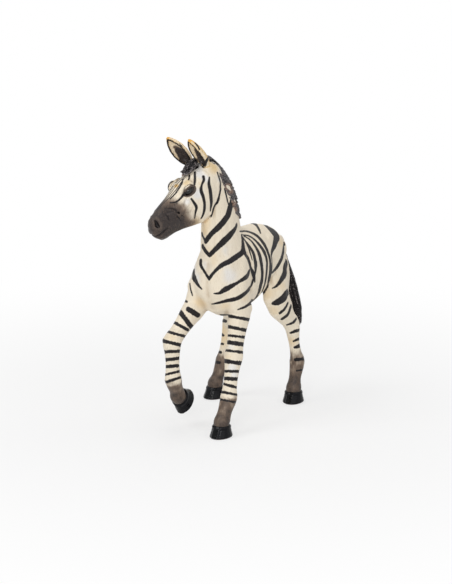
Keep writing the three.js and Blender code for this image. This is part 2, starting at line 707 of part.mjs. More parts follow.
// Head pieces, in the head's frame
const earParts = Object.keys(earAngles).map((name) => {
  const frame = earFrame(name);
  const root = frame.position;
  const axis = new THREE.Vector3(0, 0, 1).applyEuler(frame.rotation);
  const down = axis.clone().negate();
  return {
    name,
    solid: moved(earSkin(), frame.matrix).subtract(headSkin(seamGap)).add(plug(root, down, earPlug)),
    grown: moved(skin(earLeaf(seamGap), ear.sides), frame.matrix),
    socket: plug(root, down, earPlug, plugClearance),
  };
});
const earsGrown = earParts.map(({ grown }) => grown).reduce((all, grown) => all.add(grown));
const tuft = forelockSkin();
const headCuts = [
  moved(plug(nape, napeAxis, headPlug, plugClearance), toHead),
  mouthCut(),
  nostrilCut(1),
  nostrilCut(-1),
  eyeSolid(1, eye.gap),
  eyeSolid(-1, eye.gap),
  tuftPlug(plugClearance),
  ...earParts.map(({ socket }) => socket),
];
headGroup.add(
  piece("head", headCuts.reduce((solid, cut) => solid.subtract(cut), headSkin()), coat),
  piece("left_eye", eyeSolid(1), eyeball),
  piece("right_eye", eyeSolid(-1), eyeball),
  piece("forelock", tuft.subtract(headSkin(seamGap)).subtract(earsGrown).add(tuftPlug()), hair),
  ...earParts.map(({ name, solid }) => piece(name, solid, coat)),
);

// Mane and tail
const maneBody = [neckGrown, trunkGrown, headGrown, inBody(forelockSkin(seamGap)), inBody(earsGrown)].reduce(
  (solid, cut) => solid.subtract(cut),
  maneSkin(),
);
const manePins = (clearance) =>
  manePinPlaces.map((at) => {
    const start = onNeck(neckShares[at]).add(new THREE.Vector3(0, neckGirths[at].back + seamGap, 0));
    return plug(start, new THREE.Vector3(0, -1, 0), manePin, clearance);
  });

const figure = new THREE.Group();
figure.add(
  piece("torso", torso, coat),
  piece("neck", manePins(plugClearance).reduce((solid, pin) => solid.subtract(pin), neckBody), coat),
  headGroup,
  piece("mane", manePins(0).reduce((solid, pin) => solid.add(pin), maneBody), hair),
  piece("tail", tailSkin(), hair),
  ...legPieces,
);

// The part's origin is the middle of its footprint, on the ground.
figure.updateMatrixWorld(true);
const box = new THREE.Box3().setFromObject(figure, true);
const middle = box.getCenter(new THREE.Vector3());
figure.position.set(-middle.x, -middle.y, -box.min.z);

export default figure;
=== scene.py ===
"""A hand-painted moulded zebra foal, walking with its right foreleg lifted.

The moulded body is sculpted like clay: the construction's solids are merged into a block of
distances, muscles and bones are pressed into it, and the skin is cut into pieces at seams
that follow the construction's. The stripes are painted on the skin by distance to their lines.
Lengths are in millimetres until a mesh is made. The foal faces -Y and its left side is +X.
"""

import logging
import math
from dataclasses import dataclass, field
from enum import Enum
from typing import Callable, Iterable, Iterator, Optional, Sequence

import bmesh
import bpy
import numpy as np
import openvdb as vdb
from mathutils import Matrix, Vector
from mathutils.bvhtree import BVHTree


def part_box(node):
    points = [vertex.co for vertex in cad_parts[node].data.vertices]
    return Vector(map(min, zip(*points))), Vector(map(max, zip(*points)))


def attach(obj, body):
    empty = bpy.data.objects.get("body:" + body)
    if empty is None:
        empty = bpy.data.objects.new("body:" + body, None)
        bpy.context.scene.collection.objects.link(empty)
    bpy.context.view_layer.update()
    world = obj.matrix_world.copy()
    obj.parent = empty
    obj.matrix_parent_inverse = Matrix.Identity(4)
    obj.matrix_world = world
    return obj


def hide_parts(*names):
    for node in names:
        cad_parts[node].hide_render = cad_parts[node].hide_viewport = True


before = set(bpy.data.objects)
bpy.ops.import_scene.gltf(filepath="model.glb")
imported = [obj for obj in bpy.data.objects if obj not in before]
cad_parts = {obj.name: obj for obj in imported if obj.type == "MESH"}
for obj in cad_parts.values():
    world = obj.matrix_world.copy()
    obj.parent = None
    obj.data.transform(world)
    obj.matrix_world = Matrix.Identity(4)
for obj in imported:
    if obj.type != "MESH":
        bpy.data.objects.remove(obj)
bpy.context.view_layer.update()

LOG = logging.getLogger("zebra_foal")
MM = 0.001
Place = tuple[float, float, float]
Pixel = tuple[float, float]


class Side(Enum):
    """The foal's own left and right."""

    LEFT = 1
    RIGHT = -1


class Part(Enum):
    """The striped pieces. The head is cut from a skin of its own, the others from one skin."""

    TORSO = "torso"
    NECK = "neck"
    HEAD = "head"
    LEFT_FORE = "left_fore"
    RIGHT_FORE = "right_fore"
    LEFT_HIND = "left_hind"
    RIGHT_HIND = "right_hind"


# Small geometry


def vec(*values: float) -> np.ndarray:
    """A place or direction as an array."""
    return np.array(values, dtype=np.float64)


def unit(direction: np.ndarray) -> np.ndarray:
    """The direction at length one."""
    return direction / np.linalg.norm(direction)


def turn(axis: str, degrees: float) -> np.ndarray:
    """The 3 by 3 rotation about one axis, named X, Y or Z."""
    return np.array(Matrix.Rotation(math.radians(degrees), 3, axis))


def smooth_line(points: np.ndarray, count: int) -> np.ndarray:
    """A smooth curve through rows of points.

    Args:
        points: The rows to pass through, of any width.
        count: How many rows the result has.

    Returns:
        Rows along a Catmull-Rom curve, evenly spread over its spans.
    """
    points = np.asarray(points, dtype=np.float64)
    padded = np.vstack([2 * points[0] - points[1], points, 2 * points[-1] - points[-2]])
    places = np.linspace(0, len(points) - 1, count)
    span = np.minimum(places.astype(int), len(points) - 2)
    t = (places - span)[:, None]
    a, b, c, d = (padded[span + k] for k in range(4))
    return 0.5 * (2 * b + (c - a) * t + (2 * a - 5 * b + 4 * c - d) * t**2 + (3 * b - a - 3 * c + d) * t**3)


def blend_step(low: float, high: float, value: np.ndarray) -> np.ndarray:
    """A smooth rise from 0 at low to 1 at high."""
    t = np.clip((value - low) / (high - low), 0, 1)
    return t * t * (3 - 2 * t)


def cell_corners(share: np.ndarray) -> Iterator[tuple[tuple[int, ...], np.ndarray]]:
    """The eight corners of a grid's cell.

    Args:
        share: Rows of places in a cell, from 0 to 1 along each axis.

    Yields:
        Each corner's steps along x, y and z, and its weight at each place.
    """
    for corner in np.ndindex(2, 2, 2):
        yield corner, np.prod(np.where(corner, share, 1 - share), axis=1)


def lattice_noise(points: np.ndarray, size: float, seed: int) -> np.ndarray:
    """Smooth random values between -1 and 1.

    Args:
        points: Rows of places.
        size: The distance over which the values change.
        seed: The number that fixes the pattern.

    Returns:
        One value for each row.
    """
    table = np.random.default_rng(seed).uniform(-1, 1, (LATTICE, LATTICE, LATTICE))
    scaled = points / size
    base = np.floor(scaled).astype(int)
    t = scaled - base
    t = t * t * (3 - 2 * t)
    total = np.zeros(len(points))
    for corner, weight in cell_corners(t):
        total += weight * table[tuple(((base + corner) % LATTICE).T)]
    return total


def ragged(points: np.ndarray, layers: Iterable[tuple[float, int, float]]) -> np.ndarray:
    """Layers of noise for the ragged edges of paint.

    Args:
        points: Rows of places.
        layers: Each layer's size, the number that fixes its pattern, and its height.

    Returns:
        One value for each row.
    """
    return sum(lattice_noise(points, size, seed) * height for size, seed, height in layers)


LATTICE = 32


def segment_distance(points: np.ndarray, a: np.ndarray, b: np.ndarray) -> tuple[np.ndarray, np.ndarray]:
    """Distances from rows of places to a straight line's nearest point.

    Args:
        points: The places.
        a: The line's start.
        b: The line's end.

    Returns:
        The distances, and the shares along the line where they are nearest.
    """
    span = b - a
    t = np.clip((points - a) @ span / max(float(span @ span), 1e-9), 0, 1)
    return np.linalg.norm(points - a - t[:, None] * span, axis=1), t


def nearest_on(line: np.ndarray, points: np.ndarray) -> tuple[np.ndarray, np.ndarray, np.ndarray]:
    """The nearest point of a line with corners, for rows of places.

    Args:
        line: The line's corners.
        points: The places.

    Returns:
        The distances, the numbers of the nearest spans, and the shares along those spans.
    """
    pairs = [segment_distance(points, a, b) for a, b in zip(line[:-1], line[1:])]
    gaps, shares = (np.column_stack(column) for column in zip(*pairs))
    span = gaps.argmin(1)
    rows = np.arange(len(points))
    return gaps[rows, span], span, shares[rows, span]


# The figure's own frame and its pose


@dataclass(frozen=True)
class Pose:
    """Where the trunk, neck and head stand in the figure's frame.

    The trunk's frame has its origin on the ground under the breast.
    """

    breast_front: float = -0.8
    left_fore_hoof_across: float = 6.1
    head_at: Place = (-1.0, 1.5, 87.3)
    head_pitch: float = 43.5
    head_turn: float = -26.0

    @property
    def origin(self) -> np.ndarray:
        """Where the trunk's frame stands in the part's frame."""
        low, high = (vec(*corner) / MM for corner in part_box("left_fore_hoof"))
        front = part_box("torso")[0][1] / MM
        return vec((low[0] + high[0]) / 2 - self.left_fore_hoof_across, front - self.breast_front, 0)

    @property
    def head_axes(self) -> np.ndarray:
        """The head's rotation: its -Y runs down the face and its Z stands out of the forehead."""
        return turn("Z", self.head_turn) @ turn("X", self.head_pitch)

    def on_head(self, along: float, out: float, across: float) -> np.ndarray:
        """A place on the head: along the face from the poll, out of the forehead and to the left."""
        return vec(*self.head_at) + self.head_axes @ vec(across, -along, out)


POSE = Pose()
ORIGIN = POSE.origin


@dataclass(frozen=True)
class Leg:
    """One leg's joints, from the elbow or stifle to the fetlock, its coronet, and how its hoof is turned."""

    part: Part
    joints: tuple[Place, ...]
    coronet: Place
    tilt: float = 0.0
    turned: float = 0.0
    seam_share: float = 0.12
    seam_drop: float = 1.0

    @property
    def side(self) -> int:
        """1 on the foal's left, -1 on its right."""
        return 1 if self.part.value.startswith("left") else -1

    @property
    def is_fore(self) -> bool:
        """Whether this is a foreleg."""
        return self.part.value.endswith("fore")

    @property
    def line(self) -> np.ndarray:
        """The joints from the elbow or stifle down to the coronet."""
        return np.array([*self.joints, self.coronet])

    @property
    def seam(self) -> tuple[np.ndarray, np.ndarray]:
        """The middle of the seam under the elbow or stifle, and the direction down the leg."""
        upper, lower = self.line[0], self.line[1]
        down = unit(lower - upper)
        return upper + (lower - upper) * self.seam_share + down * self.seam_drop, down

    @property
    def hoof_axes(self) -> np.ndarray:
        """The hoof's rotation: its toe is at -Y and its wall stands up Z."""
        return turn("Z", self.turned) @ turn("X", self.tilt)

    def nearest(self, points: np.ndarray) -> tuple[np.ndarray, np.ndarray]:
        """The nearest places on the leg's line.

        Args:
            points: Rows of places.

        Returns:
            The nearest places, and the line's directions there.
        """
        line = self.line
        _, span, share = nearest_on(line, points)
        way = line[span + 1] - line[span]
        return line[span] + way * share[:, None], way / np.linalg.norm(way, axis=1, keepdims=True)

    def frame_at(self, share: float) -> tuple[np.ndarray, np.ndarray, np.ndarray, np.ndarray]:
        """A place on the leg's line with its directions.

        Args:
            share: 0 at the elbow or stifle, 1 at the knee or hock, 2 at the fetlock, 3 at the coronet.

        Returns:
            The place, and the unit directions outwards, forwards and down the leg.
        """
        line = self.line
        span = min(int(share), len(line) - 2)
        place = line[span] + (line[span + 1] - line[span]) * (share - span)
        down = unit(line[span + 1] - line[span])
        out = unit(vec(self.side, 0, 0) - down * down[0] * self.side)
        ahead = unit(np.cross(down, out) * self.side)
        return place, out, ahead, down

    def beside(self, share: float, out: float, ahead: float) -> np.ndarray:
        """A place beside the leg's line: at a share of its joints, and so far outwards and forwards."""
        place, outwards, forwards, _ = self.frame_at(share)
        return place + outwards * out + forwards * ahead


LEGS = (
    Leg(Part.LEFT_FORE, ((6.3, 9.2, 38.0), (6.5, 5.0, 24.3), (6.5, 1.7, 11.7)), coronet=(6.1, -2.2, 3.9), turned=-4),
    Leg(Part.RIGHT_FORE, ((-6.5, 4.2, 39.4), (-8.5, -7.4, 30.0), (-9.3, -5.6, 16.9)), coronet=(-9.6, -1.4, 10.4),
        tilt=60, turned=-5),
    Leg(Part.LEFT_HIND, ((6.4, 33.6, 37.6), (8.0, 41.4, 26.0), (8.5, 44.3, 13.2)), coronet=(8.4, 42.2, 3.9), turned=5,
        seam_share=0.06),
    Leg(Part.RIGHT_HIND, ((-7.4, 30.4, 37.6), (-11.4, 35.0, 26.2), (-14.5, 35.8, 12.6)), coronet=(-16.7, 34.4, 3.9),
        turned=-12, seam_share=0.06),
)


# The camera


@dataclass(frozen=True)
class PhotoCamera:
    """The camera at the photograph's viewing angle. Pixels are counted from the top left."""

    azimuth: float = 29.0
    elevation: float = 14.0
    distance: float = 700.0
    focal_pixels: float = 2275.0
    aim: Place = (6.5, 0.0, 46.0)
    width: int = 452
    height: int = 584
    sensor: float = 36.0

    @property
    def axes(self) -> np.ndarray:
        """The camera's right, up and back directions, in columns."""
        a, e = math.radians(self.azimuth), math.radians(self.elevation)
        right = vec(math.cos(a), math.sin(a), 0)
        back = vec(math.sin(a) * math.cos(e), -math.cos(a) * math.cos(e), math.sin(e))
        return np.column_stack([right, np.cross(back, right), back])

    @property
    def eye(self) -> np.ndarray:
        """The camera's place in the trunk's frame."""
        return vec(*self.aim) + self.axes[:, 2] * self.distance

    @property
    def pixel_size(self) -> float:
        """The length that one pixel covers at the foal."""
        return self.distance / self.focal_pixels

    def ray(self, pixel: Pixel) -> np.ndarray:
        """The direction from the camera through a pixel.

        Args:
            pixel: The pixel.

        Returns:
            The direction, at length one.
        """
        across = (pixel[0] - self.width / 2) / self.focal_pixels
        up = (self.height / 2 - pixel[1]) / self.focal_pixels
        return unit(self.axes @ vec(across, up, -1))

    def project(self, points: np.ndarray) -> np.ndarray:
        """Where the camera sees places.

        Args:
            points: Rows of places.

        Returns:
            Rows of pixels.
        """
        seen = (points - self.eye) @ self.axes
        middle = vec(self.width / 2, self.height / 2)
        return middle + seen[:, :2] * (1, -1) * self.focal_pixels / -seen[:, 2:]

    def build(self) -> bpy.types.Object:
        """Make the camera and give it to the scene.

        Returns:
            The camera's object.
        """
        data = bpy.data.cameras.new("photo_camera")
        data.sensor_fit = "VERTICAL"
        data.sensor_height = self.sensor
        data.lens = self.focal_pixels / self.height * self.sensor
        data.clip_end = 10
        camera = bpy.data.objects.new("photo_camera", data)
        matrix = Matrix(self.axes.tolist()).to_4x4()
        matrix.translation = Vector((self.eye + ORIGIN) * MM)
        camera.matrix_world = matrix
        bpy.context.scene.collection.objects.link(camera)
        bpy.context.scene.camera = camera
        return camera


# Clay


@dataclass
class Clay:
    """A block of modelling clay: signed distances to its skin on a regular grid, negative inside.

    Attributes:
        low: The grid's lowest corner.
        step: The distance between grid points.
        field: The distances, indexed by x, y and z.
    """

    low: np.ndarray
    step: float
    field: np.ndarray

    @classmethod
    def from_solids(cls, names: Sequence[str], step: float, low: Place, high: Place, seam: float) -> "Clay":
        """Merge some of the construction's solids into one block, with their seams closed.

        Args:
            names: The nodes to merge.
            step: The distance between grid points.
            low: The block's lowest corner.
            high: The block's highest corner.
            seam: How far the skin is moved out and back again to close the seams.

        Returns:
            The block.
        """
        return cls.from_mesh(*merged_solids(names), step, low, high, seam)

    @classmethod
    def from_mesh(cls, points: np.ndarray, triangles: np.ndarray, step: float, low: Place, high: Place,
                  seam: float) -> "Clay":
        """Turn closed forms, which may run into each other, into one block.

        Args:
            points: The forms' points.
            triangles: The forms' triangles.
            step: The distance between grid points.
            low: The block's lowest corner.
            high: The block's highest corner.
            seam: How far the skin is moved out and back again to close the seams.

        Returns:
            The block.
        """
        transform = vdb.createLinearTransform(voxelSize=step)
        tight = vdb.FloatGrid.createLevelSetFromPolygons(points, triangles=triangles, transform=transform)
        swollen, triangles, quads = tight.convertToPolygons(seam, 0)
        depth = CLAY_DEPTH / step
        level = vdb.FloatGrid.createLevelSetFromPolygons(
            swollen, triangles=triangles, quads=quads, transform=transform, halfWidth=depth
        )
        first = np.floor(np.array(low) / step).astype(int)
        shape = np.ceil(np.array(high) / step).astype(int) - first
        block = np.empty(shape, dtype=np.float32)
        level.copyToArray(block, ijk=tuple(int(i) for i in first))
        return cls(first * step, step, block + np.float32(seam))

    def region(self, low: np.ndarray, high: np.ndarray) -> tuple[tuple[slice, ...], list[np.ndarray]]:
        """The part of the grid between two corners.

        Args:
            low: The lowest corner.
            high: The highest corner.

        Returns:
            The slices of the field, and the places along x, y and z in broadcasting shapes.
        """
        first = np.clip(np.floor((low - self.low) / self.step).astype(int), 0, self.field.shape)
        last = np.clip(np.ceil((high - self.low) / self.step).astype(int) + 1, 0, self.field.shape)
        slices = tuple(slice(int(a), int(b)) for a, b in zip(first, last))
        places = []
        for axis in range(3):
            shape = [1, 1, 1]
            shape[axis] = -1
            line = self.low[axis] + np.arange(first[axis], last[axis]) * self.step
            places.append(line.reshape(shape).astype(np.float32))
        return slices, places

    def reach(self, line: np.ndarray, radii: np.ndarray, margin: float) -> tuple[tuple[slice, ...], np.ndarray]:
        """Distances to a tapering line, as shares of its radius.

        Args:
            line: The rows of the line's points.
            radii: One radius for each point.
            margin: How much further than the radii the region reaches.

        Returns:
            The slices of the field, and for each grid point there the distance and the radius nearest to it.
        """
        slices, places = self.region(line.min(0) - radii.max() - margin, line.max(0) + radii.max() + margin)
        best = None
        for a, b, ra, rb in zip(line[:-1], line[1:], radii[:-1], radii[1:]):
            span = b - a
            length = max(float(span @ span), 1e-9)
            offsets = [axis - start for axis, start in zip(places, a)]
            t = np.clip(sum(offset * way for offset, way in zip(offsets, span)) / length, 0, 1)
            gap = np.sqrt(sum((offset - t * way) ** 2 for offset, way in zip(offsets, span)))
            radius = ra + (rb - ra) * t
            if best is None:
                best = [gap, radius]
            else:
                nearer = gap - radius < best[0] - best[1]
                best = [np.where(nearer, gap, best[0]), np.where(nearer, radius, best[1])]
        return slices, best

    def press(self, line: Iterable[Sequence[float]], radius: float | Sequence[float], height: float) -> None:
        """Raise the skin along a line, or press it in where the height is negative.

        Args:
            line: The points that the stroke passes.
            radius: The stroke's half width, or one for each point.
            height: How far the skin moves in the stroke's middle.
        """
        rows, radii = stroke_line(line, radius)
        slices, (gap, reach) = self.reach(self.settle(rows), radii, self.step)
        weight = np.clip(1 - (gap / reach) ** 2, 0, 1) ** 2
        self.field[slices] -= np.float32(height) * weight.astype(np.float32)

    def add(self, line: Iterable[Sequence[float]], radius: float | Sequence[float], blend: float) -> None:
        """Add a roll of clay along a line, blended into what is there.

        Args:
            line: The roll's centre line.
            radius: The roll's radius, or one for each point.
            blend: The width over which the roll and the body run into each other.
        """
        self.blend_roll(line, radius, blend, 1)

    def carve(self, line: Iterable[Sequence[float]], radius: float | Sequence[float], blend: float) -> None:
        """Cut a roll out along a line, with a rounded edge.

        Args:
            line: The cut's centre line.
            radius: The cut's radius, or one for each point.
            blend: The width over which the cut's edge is rounded.
        """
        self.blend_roll(line, radius, blend, -1)

    def blend_roll(self, line: Iterable[Sequence[float]], radius: float | Sequence[float], blend: float,
                   sign: int) -> None:
        """Join a roll and the body, or take the roll out of the body, with a soft edge.

        Args:
            line: The roll's centre line.
            radius: The roll's radius, or one for each point.
            blend: The width of the soft edge.
            sign: 1 to join them, -1 to take the roll out.
        """
        rows, radii = stroke_line(line, radius)
        slices, (gap, reach) = self.reach(rows, radii, 2 * blend)
        roll = (sign * (gap - reach)).astype(np.float32)
        body = self.field[slices]
        mix = np.clip(0.5 + 0.5 * (roll - body) / blend, 0, 1)
        first, second = (roll, body) if sign > 0 else (body, roll)
        self.field[slices] = first + (second - first) * mix - sign * blend * mix * (1 - mix)

    def displace(self, amount: Callable[[np.ndarray], np.ndarray], depth: float = 0.8) -> None:
        """Raise the whole skin by amounts that depend on the place.

        Args:
            amount: Turns rows of places into heights.
            depth: How far from the skin the clay moves along.
        """
        band = np.nonzero(np.abs(self.field) < depth)
        places = self.low + np.column_stack(band) * self.step
        self.field[band] -= amount(places).astype(np.float32)

    def settle(self, points: np.ndarray) -> np.ndarray:
        """Move places near the skin onto it.

        Args:
            points: Rows of places.

        Returns:
            The places on the skin.
        """
        places = np.array(points, dtype=np.float64)
        for _ in range(SETTLING_STEPS):
            level = self.sample(places)
            slope = self.slope(places)
            places -= slope * np.clip(level, -1, 1)[:, None]
        return places

    def slope(self, points: np.ndarray) -> np.ndarray:
        """The outward directions at places.

        Args:
            points: Rows of places.

        Returns:
            Rows of directions, at length one.
        """
        slope = np.column_stack([
            self.sample(points + row) - self.sample(points - row) for row in np.eye(3) * self.step
        ])
        return slope / np.maximum(np.linalg.norm(slope, axis=1, keepdims=True), 1e-6)

    def copy(self) -> "Clay":
        """A copy of the block."""
        return Clay(self.low, self.step, self.field.copy())

    def smooth(self, width: float) -> None:
        """Smooth the clay with a soft brush.

        Args:
            width: The brush's width.
        """
        spread = width / self.step
        reach = math.ceil(BRUSH_REACH * spread)
        taps = np.arange(-reach, reach + 1)
        weights = np.exp(-0.5 * (taps / spread) ** 2)
        weights = (weights / weights.sum()).astype(np.float32)
        for axis in range(3):
            moved = np.moveaxis(self.field, axis, 0)
            padded = np.concatenate([moved[:1]] * taps[-1] + [moved] + [moved[-1:]] * taps[-1])
            total = np.zeros_like(moved)
            for offset, weight in zip(taps - taps[0], weights):
                total += weight * padded[offset : offset + len(moved)]
            self.field = np.moveaxis(total, 0, axis)
        self.field = np.ascontiguousarray(self.field)

    def sample(self, points: np.ndarray) -> np.ndarray:
        """The distances at places, read between the grid points.

        Args:
            points: Rows of places.

        Returns:
            One distance for each place.
        """
        scaled = (points - self.low) / self.step
        base = np.clip(np.floor(scaled).astype(int), 0, np.array(self.field.shape) - 2)
        t = np.clip(scaled - base, 0, 1)
        total = np.zeros(len(points))
        for corner, weight in cell_corners(t):
            total += weight * self.field[tuple((base + corner).T)]
        return total

    def skin(self) -> tuple[np.ndarray, np.ndarray]:
        """The clay's skin.

        Returns:
            The points, and the quads with their faces outwards.
        """
        grid = vdb.FloatGrid(CLAY_DEPTH)
        grid.copyFromArray(np.ascontiguousarray(self.field))
        grid.transform = vdb.createLinearTransform(voxelSize=self.step)
        points, triangles, quads = grid.convertToPolygons(0, 0)
        points = points + self.low
        if len(triangles):
            quads = np.vstack([quads, np.column_stack([triangles, triangles[:, 2]])])
        a, b, c = (points[quads[:, k]] for k in range(3))
        volume = np.einsum("ij,ij->i", a, np.cross(b, c)).sum()
        return points, quads if volume > 0 else quads[:, ::-1]

    def tree(self) -> BVHTree:
        """The clay's skin, for rays to be cast on."""
        points, quads = self.skin()
        return BVHTree.FromPolygons(points.tolist(), quads.tolist())

    def mesh(self, name: str) -> tuple[bpy.types.Mesh, np.ndarray]:
        """The clay's skin as a smooth mesh.

        Args:
            name: The mesh's name.

        Returns:
            The mesh, and its points as rows.
        """
        mesh = smooth_mesh(name, *self.skin())
        return mesh, mesh_points(mesh)


CLAY_DEPTH = 3.0
SETTLING_STEPS = 6
BRUSH_REACH = 2.5


def stroke_line(line: Iterable[Sequence[float]], radius: float | Sequence[float]) -> tuple[np.ndarray, np.ndarray]:
    """The points and radii of a stroke.

    Args:
        line: The points that it passes.
        radius: One radius, or one for each point.

    Returns:
        The rows of a smooth line, and their radii.
    """
    rows = np.array([np.asarray(p, dtype=np.float64) for p in line])
    radii = np.broadcast_to(np.asarray(radius, dtype=np.float64), (len(rows),))
    if len(rows) == 1:
        return np.repeat(rows, 2, 0), np.repeat(radii, 2)
    if len(rows) == 2:
        return rows, np.array(radii)
    fine = smooth_line(np.column_stack([rows, radii]), 3 * len(rows) - 2)
    return fine[:, :3], fine[:, 3]


def merged_solids(names: Sequence[str]) -> tuple[np.ndarray, np.ndarray]:
    """The triangles of some of the construction's nodes, in the trunk's frame.

    Args:
        names: The nodes.

    Returns:
        The points and the triangles.
    """
    all_points, all_triangles, count = [], [], 0
    for name in names:
        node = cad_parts[name]
        data = node.data
        data.calc_loop_triangles()
        points = np.empty(len(data.vertices) * 3, dtype=np.float32)
        data.vertices.foreach_get("co", points)
        matrix = np.array(node.matrix_world)
        points = points.reshape(-1, 3) @ matrix[:3, :3].T + matrix[:3, 3]
        corners = np.empty(len(data.loop_triangles) * 3, dtype=np.int32)
        data.loop_triangles.foreach_get("vertices", corners)
        all_points.append(points / MM - ORIGIN)
        all_triangles.append(corners.reshape(-1, 3) + count)
        count += len(points)
    return np.vstack(all_points).astype(np.float32), np.vstack(all_triangles).astype(np.uint32)


# Cutting the skin into pieces


@dataclass(frozen=True)
class Cut:
    """A seam, flat or bent like a trough.

    Attributes:
        middle: A place in its middle.
        normal: The direction across it.
        reach: How far from its middle it parts the skin.
        along: The direction in which it bends.
        bend: How strongly it bends towards its normal.
    """

    middle: np.ndarray
    normal: np.ndarray
    reach: float
    along: np.ndarray = field(default_factory=lambda: vec(0, 0, 0))
    bend: float = 0.0

    def sag(self, points: np.ndarray) -> np.ndarray:
        """How far the bent seam stands off its flat middle plane at rows of places."""
        return self.bend * ((points - self.middle) @ self.along) ** 2

    def ahead(self, points: np.ndarray) -> np.ndarray:
        """How far rows of places lie beyond the seam."""
        return (points - self.middle) @ self.normal - self.sag(points)

    def near(self, points: np.ndarray) -> np.ndarray:
        """Which rows of places lie within the seam's reach."""
        return np.linalg.norm(points - self.middle, axis=1) < self.reach

    def shift(self, form: bmesh.types.BMesh, sign: int) -> None:
        """Straighten a skin along the seam, or bend it back.

        Args:
            form: The skin.
            sign: -1 to straighten it, 1 to bend it back.
        """
        if self.bend:
            normal, middle, along = Vector(self.normal), Vector(self.middle), Vector(self.along)
            for corner in form.verts:
                corner.co += normal * (sign * self.bend * (corner.co - middle).dot(along) ** 2)


def divided(points: np.ndarray, quads: np.ndarray, cuts: Sequence[Cut]) -> bmesh.types.BMesh:
    """Part a skin at flat seams, so that each piece becomes an island of its own.

    Args:
        points: The skin's points.
        quads: The skin's faces.
        cuts: The seams.

    Returns:
        The parted skin, still open at the seams.
    """
    rough = bpy.data.meshes.new("skin")
    rough.from_pydata(points.tolist(), [], quads.tolist())
    form = bmesh.new()
    form.from_mesh(rough)
    bpy.data.meshes.remove(rough)
    form.faces.ensure_lookup_table()
    centres = points[quads].mean(1)
    chosen = [
        [form.faces[i] for i in np.flatnonzero(cut.near(centres) & (np.abs(cut.ahead(centres)) < SEAM_MARGIN))]
        for cut in cuts
    ]
    for cut, faces in zip(cuts, chosen):
        edges = {e for f in faces for e in f.edges}
        corners = {v for f in faces for v in f.verts}
        cut.shift(form, -1)
        result = bmesh.ops.bisect_plane(
            form, geom=[*corners, *edges, *faces], dist=1e-5, plane_co=Vector(cut.middle), plane_no=Vector(cut.normal)
        )
        line = [e for e in result["geom_cut"] if isinstance(e, bmesh.types.BMEdge)]
        ends: dict[bmesh.types.BMVert, int] = {}
        for edge in line:
            for corner in edge.verts:
                ends[corner] = ends.get(corner, 0) + 1
        loop = [e for e in line if all(ends[v] == 2 for v in e.verts)]
        if not loop or len(loop) < len(line):
            LOG.warning("the seam at %s isn't closed", cut.middle.round(1))
        bmesh.ops.split_edges(form, edges=loop)
        cut.shift(form, 1)
    form.faces.index_update()
    return form


def island(form: bmesh.types.BMesh, name: str, seed: np.ndarray) -> bpy.types.Mesh:
    """Take one piece out of a parted skin and close it at its seams.

    Args:
        form: The parted skin.
        name: The mesh's name.
        seed: A place on or near the piece.

    Returns:
        A closed mesh, smooth except at its seams.
    """
    target = Vector(seed)
    first = min(form.faces, key=lambda f: (f.verts[0].co - target).length_squared)
    found, waiting = {first}, [first]
    while waiting:
        for edge in waiting.pop().edges:
            for face in edge.link_faces:
                if face not in found:
                    found.add(face)
                    waiting.append(face)
    places, faces, numbers = [], [], {}
    for face in sorted(found, key=lambda f: f.index):
        for corner in face.verts:
            if corner not in numbers:
                numbers[corner] = len(places)
                places.append(tuple(corner.co))
        faces.append([numbers[corner] for corner in face.verts])
    rough = bpy.data.meshes.new(name)
    rough.from_pydata(places, [], faces)
    piece = bmesh.new()
    piece.from_mesh(rough)
    bpy.data.meshes.remove(rough)
    for face in piece.faces:
        face.smooth = True
    rim = [e for e in piece.edges if e.is_boundary]
    if rim:
        for edge in rim:
            edge.smooth = False
        caps = bmesh.ops.edgeloop_fill(piece, edges=rim)["faces"]
        for face in caps:
            face.smooth = False
        bmesh.ops.triangulate(piece, faces=caps)
    bmesh.ops.recalc_face_normals(piece, faces=piece.faces)
    if piece.calc_volume(signed=True) < 0:
        bmesh.ops.reverse_faces(piece, faces=piece.faces)
    mesh = bpy.data.meshes.new(name)
    piece.to_mesh(mesh)
    piece.free()
    return mesh


SEAM_MARGIN = 0.6
SEAM_CLOSING = 0.4


def mesh_points(mesh: bpy.types.Mesh) -> np.ndarray:
    """A mesh's points.

    Args:
        mesh: The mesh.

    Returns:
        The points as rows.
    """
    points = np.empty(len(mesh.vertices) * 3, dtype=np.float32)
    mesh.vertices.foreach_get("co", points)
    return points.reshape(-1, 3).astype(np.float64)


def finished(mesh: bpy.types.Mesh, name: str, nodes: Sequence[str],
             material: bpy.types.Material, values: dict[str, np.ndarray]) -> bpy.types.Object:
    """Turn a mesh in millimetres into a finished piece of the foal.

    Args:
        mesh: The mesh, in the trunk's frame.
        name: The piece's name.
        nodes: The construction's nodes that it stands for.
        material: Its finish.
        values: Values for each point, by the names that the finish reads.

    Returns:
        The piece's object.
    """
    points = mesh_points(mesh)
    mesh.vertices.foreach_set("co", ((points + ORIGIN) * MM).astype(np.float32).ravel())
    for key, numbers in values.items():
        attribute = mesh.attributes.new(key, "FLOAT", "POINT")
        attribute.data.foreach_set("value", np.asarray(numbers, dtype=np.float32))
    mesh.materials.clear()
    mesh.materials.append(material)
    mesh.update()
    piece = bpy.data.objects.new(name, mesh)
    bpy.context.scene.collection.objects.link(piece)
    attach(piece, "root")
    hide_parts(*nodes)
    LOG.info("%s: %d faces", name, len(mesh.polygons))
    return piece


